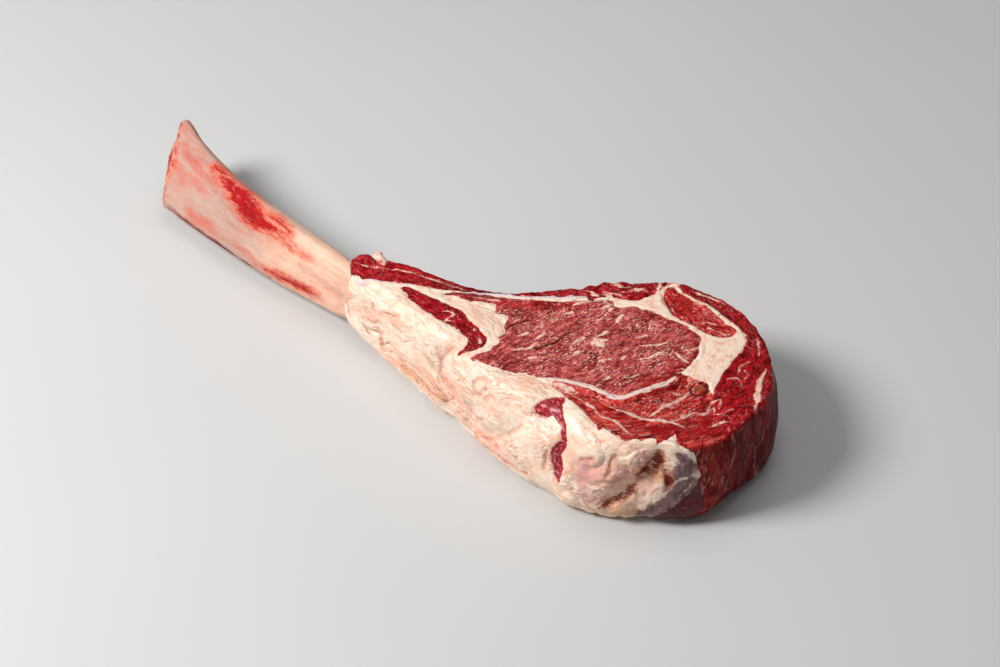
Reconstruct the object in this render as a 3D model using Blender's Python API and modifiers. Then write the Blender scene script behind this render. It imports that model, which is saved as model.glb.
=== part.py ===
"""Raw tomahawk steak: a thick rib steak left on its long, scraped rib bone.

It lies on one cut face, with the bone towards -X and the round of meat towards +X.
The muscles and the fat run through it from cut face to cut face, so they are made as a
butcher finds them: one body of meat, parted along its seams.

All sizes are in millimetres. A plan position is measured on the drawing, whose zero
DRAWING_ZERO puts in the part's own frame, and a height is measured from the base.
"""

import math

import bmesh
import bpy
import numpy as np
from mathutils import Matrix, Vector, noise
from mathutils.bvhtree import BVHTree
from mathutils.geometry import delaunay_2d_cdt

MM = 0.001
UP = Vector((0, 0, 1))

# Driving sizes
STEAK_THICKNESS = 52.0
FULL_THICKNESS_X = 55.0
NECK_THICKNESS = 46.0
NECK_END_X = -45.0
NECK_LIFT = 6.0
NECK_REST_X = 5.0
WIDEST_HEIGHT = 15.0
WALL_SQUARENESS = 2.3
SEAM_GAP = 0.3
SEAM_LEAN = 4.0
DRAWING_ZERO = Vector((2.0, -1.5, 0.0))

# Slack in the soft flesh: how long its lumps are, and how far they stand out
WIDE_LUMP, WIDE_LUMP_RISE = 34.0, 2.6
CLOSE_LUMP, CLOSE_LUMP_RISE = 14.0, 1.4
CUT_FACE_SHARE = 0.4
CUT_FACE_BAND = 4.0
SOFT_FROM = 1.0

# Mesh density: points round the steak, rings up its side, and spacings
POINTS_AROUND = 128
FOOT_RINGS = 3
WALL_RINGS = 8
FACE_STEP = 5.5
SEAM_STEP = 6.0

# The steak from above, anticlockwise from the bone: x and y of its widest outline, how far
# in from there the cut face starts, and how far in the foot stands.
OUTLINE = [
    (-49, -17, 5, 5),
    (-36, -28, 7, 6),
    (-6, -37.5, 10, 7),
    (38, -48.5, 8, 6),
    (74, -59.5, 8, 5),
    (110, -69, 20, 7),
    (150, -69.5, 16, 8),
    (178, -57, 11, 10),
    (202, -35, 5, 9),
    (208, -6, 4, 9),
    (206, 22, 5, 9),
    (190, 50, 6, 7),
    (160, 70, 6, 5),
    (120, 71, 6, 4),
    (86, 48, 5, 4),
    (50, 14, 5, 4),
    (5, -2, 4, 4),
    (-32, -8, 4, 5),
]

# Seams that run round one muscle
CLOSED_SEAMS = {
    "eye": [
        (64, -51), (81, -49), (97, -44), (109, -38.5), (120, -33), (130, -30.5), (139, -30.5),
        (145, -27), (149, -19), (154, -10), (158, -2), (162, 7), (162, 18), (159, 27), (153, 33),
        (144, 36), (131, 36), (119, 35), (108, 31), (99, 27), (88, 24), (66, 10), (54, 3),
        (41, -2), (20, -12), (32, -12), (48, -8), (58, -13), (65, -21), (69, -32), (68, -40),
        (64, -47),
    ],
    "rib_finger": [
        (-2, -24), (10, -22.5), (26, -21.5), (36, -20), (45, -24), (56, -28), (63, -33),
        (64.5, -39), (61, -44), (57, -48), (55, -43), (54, -37), (46, -35), (32, -35),
        (16, -31), (5, -27),
    ],
    "corner": [
        (121, 51), (121, 57), (131, 57), (141, 55.5), (152, 53), (162, 49), (168, 46),
        (161, 40), (151, 38), (142, 41), (133, 42), (125, 45),
    ],
}

# Seams from one seam, or from the outside, to another. Each runs a little past what it meets.
OPEN_SEAMS = {
    "silverskin_edge": [
        (101, -41), (106, -43.5), (114, -39.5), (122, -36.5), (131, -34.5), (141, -34.5),
        (148, -30), (152, -21), (157, -12), (160, -6), (159.5, 1),
    ],
    "fat_to_cap": [
        (110, -40.5), (111, -43), (121, -46), (132, -49), (145, -53.5), (160, -56),
        (170, -50), (178, -44), (186, -43), (208, -46),
    ],
    "kernel_foot": [(156, 2), (162, 3.5), (168, 4.5), (175, 5), (180, 1.5), (182.5, -2)],
    "cap_to_outer": [(181.5, 2), (185, -6), (191, -14), (199, -20), (216, -30)],
    "outer_edge": [
        (183, -3), (180.5, 8), (178, 18), (177, 30), (176, 42), (172, 50.5), (162, 54.5),
        (150, 58), (139, 60.5), (130, 61), (124, 66), (121, 80),
    ],
    "far_band": [
        (114, 80), (115, 65), (114, 55), (110, 44), (103, 37.5), (93, 32.5), (84, 28),
        (68, 16.5), (55, 9), (43, 4.5), (24, -6), (15, -12), (-5, -21), (-16, -25.5),
        (-29, -26.5), (-41, -24.5), (-56, -22),
    ],
    "strip_split": [(26, -5), (10, -6), (-10, -11), (-28, -17), (-40, -18.5), (-60, -18)],
    "strip_end": [(60, 10.5), (58, 15), (52, 26)],
    "fat_end": [(92, 24), (90, 33)],
}

# Each piece: a plan point inside it, and how far its cut face stands above the others'
PIECES = {
    "fat_cap": (90, -58, 0.0),
    "eye_muscle": (115, 0, 0.6),
    "rib_finger_muscle": (40, -29, -0.8),
    "corner_muscle": (145, 47, -0.4),
    "silverskin": (133, -32.5, 0.9),
    "cap_muscle": (160, -35, -1.6),
    "outer_muscle": (190, 20, -0.8),
    "kernel_fat": (170, 20, 0.4),
    "back_muscle": (90, 42, -0.6),
    "rib_strip_far": (10, -4.5, 0.0),
    "rib_strip_near": (-12, -16, 0.0),
}
RISE_FROM, RISE_FULL = 30.0, 44.0

# Folds and hollows in the outer fat: the line that each follows, its width and its depth
FOLDS = {
    "lobe_fold": (
        [(51, -46, 52), (45, -49, 44), (44, -50, 35), (48, -52, 27), (58, -55, 18), (70, -59, 13)], 6, 3.0
    ),
    "collar_crease": ([(-36, -28, 28), (-20, -33, 34), (-13, -36, 30), (-7, -38, 22), (-2, -38, 13)], 5, 2.5),
    "fat_crease": ([(65, -56, 8), (78, -60, 13), (94, -65, 25), (106, -65, 38)], 5, 1.6),
    "streak_groove": ([(113, -62, 46), (131, -62, 48), (134, -66, 42), (133, -69, 30)], 5, 1.8),
    "front_hollow": ([(165, -66, 18), (171, -63, 27), (179, -57, 35), (183, -51, 45)], 6, 3.5),
}

# The rib from its sawn end to the end held in the meat: centre x, y and z, width across
# its broad face, thickness, and lean of that face from upright in degrees
RIB = [
    (-216, 19, 26, 48, 13, 45),
    (-190, 8, 26, 45, 13, 39),
    (-150, -3, 26, 41, 14, 28),
    (-110, -11, 26, 41, 15, 17),
    (-78, -15, 26, 40, 16, 8),
    (-50, -18, 25.5, 38.5, 16, 1),
    (-34, -19.5, 25, 33, 13, 0),
    (-18, -21, 25, 28, 10, 0),
]
RIB_SQUARENESS = 2.8
RIB_SECTIONS = 43
RIB_SECTION_POINTS = 28
SAW_CUT_POINT = (-202, 11, 28)
SAW_CUT_NORMAL = (-0.79, -0.58, 0.23)
SOCKET_FROM_X = -70.0

LEAN_COLOUR = (0.36, 0.04, 0.045)
OTHER_COLOURS = {
    "fat_cap": (0.86, 0.66, 0.50),
    "kernel_fat": (0.86, 0.70, 0.55),
    "silverskin": (0.80, 0.72, 0.74),
    "rib_bone": (0.80, 0.56, 0.46),
}
WET_ROUGHNESS = 0.4


def clear_scene():
    for old in list(bpy.data.objects):
        bpy.data.objects.remove(old)


def new_collection(name):
    made = bpy.data.collections.new(name)
    bpy.context.scene.collection.children.link(made)
    return made


def add_object(name, data, group):
    made = bpy.data.objects.new(name, data)
    group.objects.link(made)
    return made


def hide_cutter(cutter):
    cutter.hide_render = True
    cutter.display_type = "WIRE"


def give_material(piece):
    made = bpy.data.materials.new(piece.name)
    made.use_nodes = True
    shader = made.node_tree.nodes["Principled BSDF"]
    shader.inputs["Base Color"].default_value = (*OTHER_COLOURS.get(piece.name, LEAN_COLOUR), 1.0)
    shader.inputs["Roughness"].default_value = WET_ROUGHNESS
    shader.inputs["Metallic"].default_value = 0.0
    piece.data.materials.append(made)


def evaluated_mesh(source):
    """The object's mesh with its modifiers applied."""
    bpy.context.view_layer.update()
    return bpy.data.meshes.new_from_object(source.evaluated_get(bpy.context.evaluated_depsgraph_get()))


def mesh_from(build, name):
    """Closes the work on a bmesh: its faces point out, and it becomes a mesh."""
    bmesh.ops.recalc_face_normals(build, faces=build.faces)
    mesh = bpy.data.meshes.new(name)
    build.to_mesh(mesh)
    build.free()
    return mesh


def bridge(build, first, second):
    """Quads between two rings of equally many vertices."""
    for i in range(len(first)):
        j = (i + 1) % len(first)
        build.faces.new((first[i], first[j], second[j], second[i]))


def smooth_line(points, at, closed):
    """A Catmull-Rom curve through the rows of points, read at the row numbers in at."""
    points = np.asarray(points, float)
    count = len(points)
    row = np.floor(at).astype(int)
    t = (at - row)[:, None]
    if closed:
        near = [points[(row + k) % count] for k in (-1, 0, 1, 2)]
    else:
        ends = np.vstack([2 * points[0] - points[1], points, 2 * points[-1] - points[-2]])
        near = [ends[np.clip(row + 1 + k, 0, count + 1)] for k in (-1, 0, 1, 2)]
    a, b, c, d = near
    return b + 0.5 * t * (c - a + t * (2 * a - 5 * b + 4 * c - d + t * (3 * (b - c) + d - a)))


def even_line(points, step, closed):
    """The smooth line through points, at steps of near-equal length on plan."""
    last = len(points) if closed else len(points) - 1
    end = last - 1e-9
    at = np.linspace(0, end, last * 20 + 1)
    fine = smooth_line(points, at, closed)[:, :2]
    run = np.concatenate([[0], np.cumsum(np.linalg.norm(np.diff(fine, axis=0), axis=1))])
    wanted = np.linspace(0, run[-1], round(run[-1] / step) + 1)
    if closed:
        wanted = wanted[:-1]
    return smooth_line(points, np.interp(wanted, run, at), closed)


def eased(share):
    """Goes from 0 to 1 as share does, level at both ends."""
    share = np.clip(share, 0, 1)
    return share * share * (3 - 2 * share)


def cut_face_height(x):
    share = eased((x - NECK_END_X) / (FULL_THICKNESS_X - NECK_END_X))
    return NECK_THICKNESS + (STEAK_THICKNESS - NECK_THICKNESS) * share


def underside_height(x):
    """The neck's collar doesn't reach the table: it lifts towards the bone."""
    return NECK_LIFT * eased((NECK_REST_X - x) / (NECK_REST_X - NECK_END_X))


def distance_to_line(points, line):
    """How far each point is from the nearest stretch of a line, in three dimensions."""
    nearest = np.full(len(points), np.inf)
    for a, b in zip(line[:-1], line[1:]):
        share = np.clip((points - a) @ (b - a) / ((b - a) @ (b - a)), 0, 1)
        nearest = np.minimum(nearest, np.linalg.norm(points - a - share[:, None] * (b - a), axis=1))
    return nearest


def relief_at(points):
    """How far soft fat and meat stand out from the plain form at these points."""
    wide = np.array([noise.noise(Vector(p) / WIDE_LUMP) for p in points])
    close = np.array([noise.noise(Vector(p) / CLOSE_LUMP) for p in points])
    on_face = eased((points[:, 2] - cut_face_height(points[:, 0])) / CUT_FACE_BAND + 1)
    relief = (WIDE_LUMP_RISE * wide + CLOSE_LUMP_RISE * close) * (1 - (1 - CUT_FACE_SHARE) * on_face)
    for line, width, depth in FOLDS.values():
        relief -= depth * np.exp(-((distance_to_line(points, np.array(line, float)) / width) ** 2))
    return relief


def steak_rings():
    """Closed rings of points from the foot, up the side to the rim of the cut face."""
    line = even_line(OUTLINE, 0.5, True)
    line = line[np.linspace(0, len(line), POINTS_AROUND, endpoint=False).astype(int)]
    plan, run_in, tuck = line[:, :2], line[:, 2:3], line[:, 3:4]
    along = np.roll(plan, -1, axis=0) - np.roll(plan, 1, axis=0)
    inward = np.column_stack([-along[:, 1], along[:, 0]]) / np.linalg.norm(along, axis=1)[:, None]
    low, top = underside_height(plan[:, :1]), cut_face_height(plan[:, :1])
    rings = []
    for angle in np.linspace(math.pi / 2, 0, FOOT_RINGS + 1)[:-1]:
        height = low + (WIDEST_HEIGHT - low) * (1 - math.sin(angle))
        rings.append(np.hstack([plan + inward * tuck * (1 - math.cos(angle)), height]))
    power = 2 / WALL_SQUARENESS
    for angle in np.linspace(0, math.pi / 2, WALL_RINGS + 1):
        height = WIDEST_HEIGHT + (top - WIDEST_HEIGHT) * math.sin(angle) ** power
        inset = run_in * (1 - max(math.cos(angle), 0) ** power)
        rings.append(np.hstack([plan + inward * inset, height]))
    return rings


def fill_face(build, rim, height_at, step):
    """Closes a rim of vertices with a sheet of near-equal triangles that follows height_at."""
    edge = np.array([v.co.xy for v in rim]) / MM
    low, high = edge.min(axis=0), edge.max(axis=0)
    rows = enumerate(np.arange(low[1], high[1], step * math.sqrt(0.75)))
    inner = [(x + step / 2 * (i % 2), y) for i, y in rows for x in np.arange(low[0], high[0], step)]
    inner = [p for p in inner if np.linalg.norm(edge - p, axis=1).min() > step * 0.6]
    flat = [Vector(p) for p in [*edge, *inner]]
    border = list(range(len(edge)))
    inside_border, tolerance = 1, 1e-4
    places, _, triangles, sources, _, _ = delaunay_2d_cdt(flat, [], [border], inside_border, tolerance)
    corners = []
    for (x, y), (source, *_) in zip(places, sources):
        on_rim = source < len(edge)
        corners.append(rim[source] if on_rim else build.verts.new(Vector((x, y, height_at(x))) * MM))
    for triangle in triangles:
        build.faces.new([corners[i] for i in triangle])


def steak_body(group):
    """The whole steak without its bone, as one closed form."""
    build = bmesh.new()
    rows = [[build.verts.new(Vector(p) * MM) for p in ring] for ring in steak_rings()]
    for first, second in zip(rows, rows[1:]):
        bridge(build, first, second)
    fill_face(build, rows[0], underside_height, STEAK_THICKNESS)
    fill_face(build, rows[-1], cut_face_height, FACE_STEP)
    bmesh.ops.triangulate(build, faces=build.faces)
    bmesh.ops.recalc_face_normals(build, faces=build.faces)
    build.normal_update()
    soft = [v for v in build.verts if v.co.z > SOFT_FROM * MM]
    relief = relief_at(np.array([v.co for v in soft]) / MM)
    for vertex, move in zip(soft, [v.normal * rise * MM for v, rise in zip(soft, relief)]):
        vertex.co += move
    return add_object("steak_body", mesh_from(build, "steak_body"), group)


def seam_wall(name, points, closed, group):
    """A thin wall along a seam, upright but for the slight lean that muscles have."""
    curve = bpy.data.curves.new(name, "CURVE")
    curve.dimensions = "2D"
    curve.fill_mode = "NONE"
    curve.extrude = STEAK_THICKNESS * MM
    line = even_line(points, SEAM_STEP, closed)
    spline = curve.splines.new("POLY")
    spline.points.add(len(line) - 1)
    for target, (x, y) in zip(spline.points, line):
        target.co = (x * MM, y * MM, 0, 1)
    spline.use_cyclic_u = closed
    drawn = add_object(name + "_line", curve, group)
    mesh = evaluated_mesh(drawn)
    bpy.data.objects.remove(drawn)
    lean = Matrix.Identity(4)
    lean[0][2] = -SEAM_LEAN / STEAK_THICKNESS
    lean[0][3] = SEAM_LEAN * MM
    mesh.transform(lean @ Matrix.Translation(UP * STEAK_THICKNESS / 2 * MM))
    wall = add_object(name, mesh, group)
    thick = wall.modifiers.new("thickness", "SOLIDIFY")
    thick.thickness = SEAM_GAP * MM
    thick.offset = 0.0
    thick.use_even_offset = True
    hide_cutter(wall)
    return wall


def rib_rings(clearance, from_x):
    """Rounded sections along the rib, from from_x into the meat."""
    line = smooth_line(RIB, np.linspace(0, len(RIB) - 1 - 1e-9, RIB_SECTIONS), False)
    ahead = np.gradient(line[:, :2], axis=0)
    ahead /= np.linalg.norm(ahead, axis=1)[:, None]
    turn = np.linspace(0, 2 * math.pi, RIB_SECTION_POINTS, endpoint=False)
    power = 2 / RIB_SQUARENESS
    across = np.sign(np.cos(turn)) * np.abs(np.cos(turn)) ** power / 2
    upward = np.sign(np.sin(turn)) * np.abs(np.sin(turn)) ** power / 2
    rings = []
    for (x, y, z, width, thickness, lean), (dx, dy) in zip(line, ahead):
        if x < from_x:
            continue
        tilt = math.radians(lean)
        side = Vector((-dy, dx, 0))
        face = UP * math.cos(tilt) + side * math.sin(tilt)
        through = side * math.cos(tilt) - UP * math.sin(tilt)
        face *= width + 2 * clearance
        through *= thickness + 2 * clearance
        rings.append([Vector((x, y, z)) + through * a + face * u for a, u in zip(across, upward)])
    return rings


def rib_mesh(name, clearance, from_x):
    """The rib as one closed form, or with a clearance the form of its socket."""
    build = bmesh.new()
    rings = rib_rings(clearance, from_x)
    reach = (rings[-1][0] - rings[-2][0]).normalized() * clearance
    rings[-1] = [p + reach for p in rings[-1]]
    rows = [[build.verts.new(p * MM) for p in ring] for ring in rings]
    for first, second in zip(rows, rows[1:]):
        bridge(build, first, second)
    build.faces.new(rows[0])
    build.faces.new(rows[-1])
    return mesh_from(build, name)


def saw_off(mesh):
    """Takes off the rib's far end with one slanting saw cut and closes it."""
    build = bmesh.new()
    build.from_mesh(mesh)
    cut = bmesh.ops.bisect_plane(
        build,
        geom=build.verts[:] + build.edges[:] + build.faces[:],
        plane_co=Vector(SAW_CUT_POINT) * MM,
        plane_no=Vector(SAW_CUT_NORMAL),
        clear_outer=True,
    )
    rim = [part for part in cut["geom_cut"] if isinstance(part, bmesh.types.BMEdge)]
    bmesh.ops.holes_fill(build, edges=rim, sides=0)
    return mesh_from(build, mesh.name)


def cut_away(target, cutter, solver):
    """Cuts the cutter's form out of the target."""
    boolean = target.modifiers.new("cut", "BOOLEAN")
    boolean.operation = "DIFFERENCE"
    boolean.solver = solver
    boolean.object = cutter
    target.data = evaluated_mesh(target)
    target.modifiers.clear()


def holds(mesh, x, y):
    """True if the mesh has the plan point inside it, half way up the steak."""
    tree = BVHTree.FromPolygons([v.co for v in mesh.vertices], [p.vertices[:] for p in mesh.polygons])
    place, normal, _, _ = tree.ray_cast(Vector((x, y, STEAK_THICKNESS / 2)) * MM, UP)
    return place is not None and normal.z > 0


def part_into_pieces(body):
    """Makes each loose piece of the parted steak its own object, and drops any scrap."""
    body.select_set(True)
    bpy.context.view_layer.objects.active = body
    bpy.ops.mesh.separate(type="LOOSE")
    for piece in bpy.context.selected_objects:
        found = [name for name, (x, y, _) in PIECES.items() if holds(piece.data, x, y)]
        if not found:
            bpy.data.objects.remove(piece)
            continue
        piece.name = piece.data.name = found[0]
        raise_cut_face(piece.data, PIECES[found[0]][2])
        give_material(piece)


def raise_cut_face(mesh, rise):
    """Lifts or sinks a piece's cut face, fading out down its side."""
    for vertex in mesh.vertices:
        vertex.co.z += rise * MM * eased((vertex.co.z / MM - RISE_FROM) / (RISE_FULL - RISE_FROM))


def main():
    clear_scene()
    steak = new_collection("tomahawk_steak")
    cutters = new_collection("cutters")
    bone = add_object("rib_bone", saw_off(rib_mesh("rib_bone", 0.0, RIB[0][0])), steak)
    bone.data.shade_smooth()
    bone.data.set_sharp_from_angle(angle=math.radians(40))
    give_material(bone)
    body = steak_body(steak)
    socket = add_object("rib_socket", rib_mesh("rib_socket", SEAM_GAP, SOCKET_FROM_X), cutters)
    hide_cutter(socket)
    cut_away(body, socket, "EXACT")
    for name, points in [*CLOSED_SEAMS.items(), *OPEN_SEAMS.items()]:
        wall = seam_wall("seam_" + name, points, name in CLOSED_SEAMS, cutters)
        cut_away(body, wall, "MANIFOLD")
    part_into_pieces(body)
    for piece in steak.objects:
        piece.location = DRAWING_ZERO * MM


main()
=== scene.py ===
"""Looks of the raw tomahawk steak: wet marbled lean, cream fat and a scraped, stained rib.

The flesh is made as one fine body on the drawing that the solids share. It gets its folds,
fibres and veins whole, and is then parted along the same seams, so that each piece stands
for its solid and meets its neighbours. Shapes are in millimetres on that drawing, and each
mesh goes to metres in the part's own frame when it is finished.
"""

import math

import bmesh
import bpy
import numpy as np
from mathutils import Matrix, Vector, noise
from mathutils.bvhtree import BVHTree
from mathutils.geometry import delaunay_2d_cdt
from mathutils.kdtree import KDTree


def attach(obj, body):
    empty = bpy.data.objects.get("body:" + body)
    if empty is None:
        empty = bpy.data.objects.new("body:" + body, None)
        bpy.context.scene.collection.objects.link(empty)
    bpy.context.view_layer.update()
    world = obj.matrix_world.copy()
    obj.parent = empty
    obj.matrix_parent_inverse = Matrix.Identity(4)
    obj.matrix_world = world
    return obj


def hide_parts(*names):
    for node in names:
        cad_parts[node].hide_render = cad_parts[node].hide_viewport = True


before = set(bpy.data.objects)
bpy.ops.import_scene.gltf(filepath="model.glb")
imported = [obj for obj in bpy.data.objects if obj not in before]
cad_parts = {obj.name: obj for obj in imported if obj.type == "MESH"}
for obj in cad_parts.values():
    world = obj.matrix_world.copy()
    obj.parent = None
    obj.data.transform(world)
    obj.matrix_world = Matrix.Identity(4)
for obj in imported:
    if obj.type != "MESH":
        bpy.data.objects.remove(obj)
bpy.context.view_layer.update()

MM = 0.001
UP = Vector((0, 0, 1))
DRAWING_ZERO = Vector((2.0, -1.5, 0.0))

# Vectors of noise would start from the clock if they weren't seeded
NOISE_SEED = 1
noise.seed_set(NOISE_SEED)

# The plain body
STEAK_THICKNESS = 52.0
FULL_THICKNESS_X = 55.0
NECK_THICKNESS = 46.0
NECK_END_X = -45.0
NECK_LIFT = 6.0
NECK_REST_X = 5.0
WIDEST_HEIGHT = 15.0
WALL_SQUARENESS = 2.3
SEAM_LEAN = 4.0
POINTS_AROUND = 640
FOOT_RINGS = 8
WALL_RINGS = 30
SHEET_STEP = 4.0
FLESH_STEP = 0.65
SEAM_STEP = 0.6
SEAM_GAP = 0.02
# Bits of fewer vertices than this are crumbs of the cuts, not pieces
SMALLEST_PIECE = 500
SHARP_ANGLE = math.radians(62)

# Slack in the soft flesh: how long its lumps are, and how far they stand out
WIDE_LUMP, WIDE_LUMP_RISE = 34.0, 2.6
CLOSE_LUMP, CLOSE_LUMP_RISE = 14.0, 1.4
CUT_FACE_SHARE = 0.4
CUT_FACE_BAND = 4.0
SOFT_FROM = 1.0
# Between which heights a muscle's own rise comes in
RISE_FROM, RISE_FULL = 30.0, 44.0

# Relief finer than the solids have. Each layer of lumps has its height, how long they are
# across, along and down through the grain, and a shift that sets it apart from the others.
FAT_LAYERS = [(0.4, (5, 9, 5), 0), (0.12, (1.6, 7, 1.6), 0)]
RIB_LAYERS = [(0.5, (9, 26, 9), 0), (0.22, (2.2, 12, 2.2), 0)]
FIBRE_LAYER = (0.25, (1.3, 2.4, 9), 30)
BUNDLE_SIZE, BUNDLE_RISE = (2.4, 5.0, 14), 0.4
# The height of the bundles where a piece's cut is more ragged than that
RAGGED = {"back_muscle": 1.8, "outer_muscle": 0.7, "rib_strip_far": 0.6}
# How far lean swells from its seams, and how deep the groove along a seam is
SEAM_SWELL, SEAM_SWELL_REACH = 0.4, 2.5
SEAM_GROOVE, SEAM_GROOVE_REACH = 0.45, 0.8
# How far what is drawn on the meat wavers: each waver's size, length and shift
WAVERS = [(0.9, 6.5, 0), (0.45, 2.1, 40)]

# The steak from above: x and y of its widest outline, how far in from there the cut face
# starts, and how far in the foot stands.
OUTLINE = [
    (-46, -16, 5, 5),
    (-34.5, -28, 7, 6),
    (-6, -37.5, 10, 7),
    (38, -48.5, 8, 6),
    (74, -59.5, 8, 5),
    (110, -69, 20, 7),
    (150, -69.5, 16, 8),
    (178, -57, 11, 10),
    (202, -35, 5, 9),
    (208, -6, 4, 9),
    (206, 22, 5, 9),
    (190, 50, 6, 7),
    (160, 70, 6, 5),
    (120, 71, 6, 4),
    (86, 48, 5, 4),
    (68.6, 29.6, 4.5, 4),
    (50, 13.2, 4, 4),
    (28, 4.4, 3.5, 4),
    (6, 0.8, 3, 4),
    (-31, -5, 3, 5),
]

# Seams that run round one muscle
CLOSED_SEAMS = {
    "eye": [
        (65, -50.5), (81, -49), (97, -44), (109, -38.5), (120, -33), (130, -30.5), (139, -30.5),
        (145, -27), (149, -19), (154, -10), (157.5, -1), (159.8, 8), (159.4, 18), (157.2, 25),
        (155, 29.6), (153, 33), (149.4, 34.7), (144, 36.4), (133, 37.4), (120, 37.2), (112.6, 35.8),
        (108.8, 34.2), (106.4, 31.8), (104, 30), (101.2, 29.4), (99, 31), (96.8, 31.6),
        (94.4, 30.4), (92.4, 29), (90.8, 27.2), (89.2, 25.8), (87.6, 26), (86.4, 25.8),
        (82.8, 23), (74, 15.6), (62.5, 9.6), (51.5, 4.6), (39.5, 0.8), (33, -1.8), (27, -4.4),
        (21.5, -7.8), (17, -12.4), (24.5, -10.6), (30, -11.3), (36.5, -8.4), (43, -6.2), (46.5, -5.2),
        (49, -8.2), (52, -11), (58, -10.4), (60.5, -13), (62, -18), (65.5, -22), (65, -27),
        (68, -31), (67.6, -36), (68, -40), (64, -46.5),
    ],
    "rib_finger": [
        (-4.6, -20.6), (-2, -19), (3, -19), (11.5, -18.8), (22, -19.6), (30, -19.4), (38, -21), (45, -25),
        (52, -27.5), (59, -30.8), (62.3, -34), (62.6, -38.5), (60.6, -44.2), (59.2, -47),
        (56.2, -48.8), (54.2, -49), (53.4, -47.6), (54.2, -44.4), (54.4, -40.6), (52.4, -37.8),
        (47, -36.5), (41, -35.2), (34, -34), (27, -33), (16.7, -30), (8, -28), (1, -24.8), (-4, -22.4),
    ],
    "corner": [
        (115.8, 53.3), (118.4, 50.8), (122.4, 47.4), (126.6, 44), (130.2, 41.4), (133.4, 40.4),
        (137, 39.8), (144, 39.8), (150, 39), (157, 39.2), (161.2, 41.5), (163.5, 44.7), (165.2, 47.7),
        (164.4, 50.2), (160.3, 51.8), (155.7, 52.8), (151, 54.4), (146, 56.6), (141.3, 57.6),
        (136, 57.8), (130.5, 58.2), (125.5, 58.6), (121.6, 59.4), (118.5, 60.6), (116.4, 60.4),
        (115.4, 58.6), (115.5, 55.6),
    ],
}

# Seams from one seam, or from the outside, to another. Each runs a little past what it meets.
OPEN_SEAMS = {
    "silverskin_edge": [
        (102, -40.7), (106, -42.6), (114, -38.9), (122, -35.6), (131, -33.6), (141, -33.7),
        (147.5, -29.3), (151.7, -20.6), (156.4, -11.6), (158.9, -5), (158.8, -1), (155.5, 3),
    ],
    "fat_to_cap": [
        (110, -40.5), (111, -43), (121, -46), (132, -49), (145, -54.2), (148.4, -56.6), (150, -53.6),
        (153, -52), (155.4, -55.4), (158.4, -52.4), (161, -55.4), (164, -54.4), (168, -50.2),
        (170.6, -50.6), (173, -45.8), (175.4, -44.6), (177, -47), (179, -46), (179.8, -41.6),
        (181.4, -35.2), (184.5, -40), (190, -40.3), (196, -38), (202, -36), (214, -33),
    ],
    "kernel_foot": [(155, 2), (161, 4), (168, 5), (174.5, 5), (179, 1.5), (182.4, -2.6)],
    "cap_to_outer": [(180.5, 2), (185, -6), (191, -14), (199, -20), (216, -30)],
    "outer_edge": [
        (182, -3.4), (179, 8), (176.2, 18), (175.4, 30), (174.5, 42), (171.5, 49), (165.3, 52.8),
        (156, 56), (151, 57.9), (146.6, 59.2), (142.6, 59.7), (134.5, 60.2), (125.2, 60.6),
        (121.5, 62.3), (118.6, 66), (118, 80),
    ],
    "far_band": [
        (114, 80), (114.4, 68), (112.8, 62), (112.6, 57.5), (113, 54), (110.8, 49.5), (109.6, 43.8),
        (108.2, 39.4), (104.5, 37), (101.3, 37), (97.2, 35.7), (94.4, 35.9), (92.4, 36), (91.8, 33.4),
        (89.9, 31.2), (88.2, 28.6), (87.1, 27.2), (86, 27.1), (84.8, 27.8), (83.2, 28), (80.5, 26.3),
        (77.4, 24), (68, 16.6), (55, 9), (43, 4.4), (32, -0.6), (24, -5), (15, -9.8),
        (5, -13.8), (-5, -17.6), (-16, -21.6), (-27, -24), (-38, -23.5), (-56, -22),
    ],
    "strip_split": [
        (28.2, -3.7), (24, -3.2), (12, -4.8), (-1.4, -6.8), (-14, -9.6), (-25.7, -13.8), (-34, -17),
        (-45, -18), (-60, -18),
    ],
    "strip_end": [(60, 10.5), (58, 15), (52, 26)],
    "fat_end": [(87.4, 25), (86.4, 28)],
}

# Each piece: a plan point inside it, how far its cut face stands above the others', the
# line that its fibres or creases run along on plan, and its finish.
PIECES = {
    "fat_cap": (
        (90, -58), 0.0,
        [(-50, -24), (-5, -33), (38, -46), (74, -54), (110, -48), (150, -58), (205, -48)],
        "outer_fat",
    ),
    "eye_muscle": ((115, 0), 0.6, [(95, -70), (120, 0), (134, 70)], "eye_lean"),
    "rib_finger_muscle": ((40, -29), -0.8, [(-10, -25), (20, -28), (50, -31), (61, -46)], "outer_lean"),
    "corner_muscle": ((145, 47), -0.4, [(118, 55), (168, 44)], "cap_lean"),
    "silverskin": ((133, -32.5), 0.9, [(100, -42), (122, -35), (143, -32), (160, 0)], "silverskin"),
    "cap_muscle": (
        (160, -35), -1.6,
        [(90, -40), (122, -41), (147, -36), (158, -22), (166, 2), (170, 20)],
        "cap_lean",
    ),
    "outer_muscle": (
        (190, 20), -0.8,
        [(215, -40), (208, -6), (206, 22), (190, 50), (160, 70), (115, 74)],
        "outer_lean",
    ),
    "kernel_fat": ((170, 20), 0.4, [(183, 0), (177, 30), (170, 48), (140, 58), (112, 52)], "seam_fat"),
    "back_muscle": ((90, 42), -0.6, [(55, 12), (86, 38), (116, 66)], "outer_lean"),
    "rib_strip_far": ((10, -2.5), 0.2, [(-60, -15), (5, -4), (60, 20)], "outer_lean"),
    "rib_strip_near": ((-12, -16), 0.3, [(-60, -20), (-10, -16), (40, 0)], "outer_lean"),
}
FAT_PIECES = ("fat_cap", "kernel_fat", "silverskin")

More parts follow.
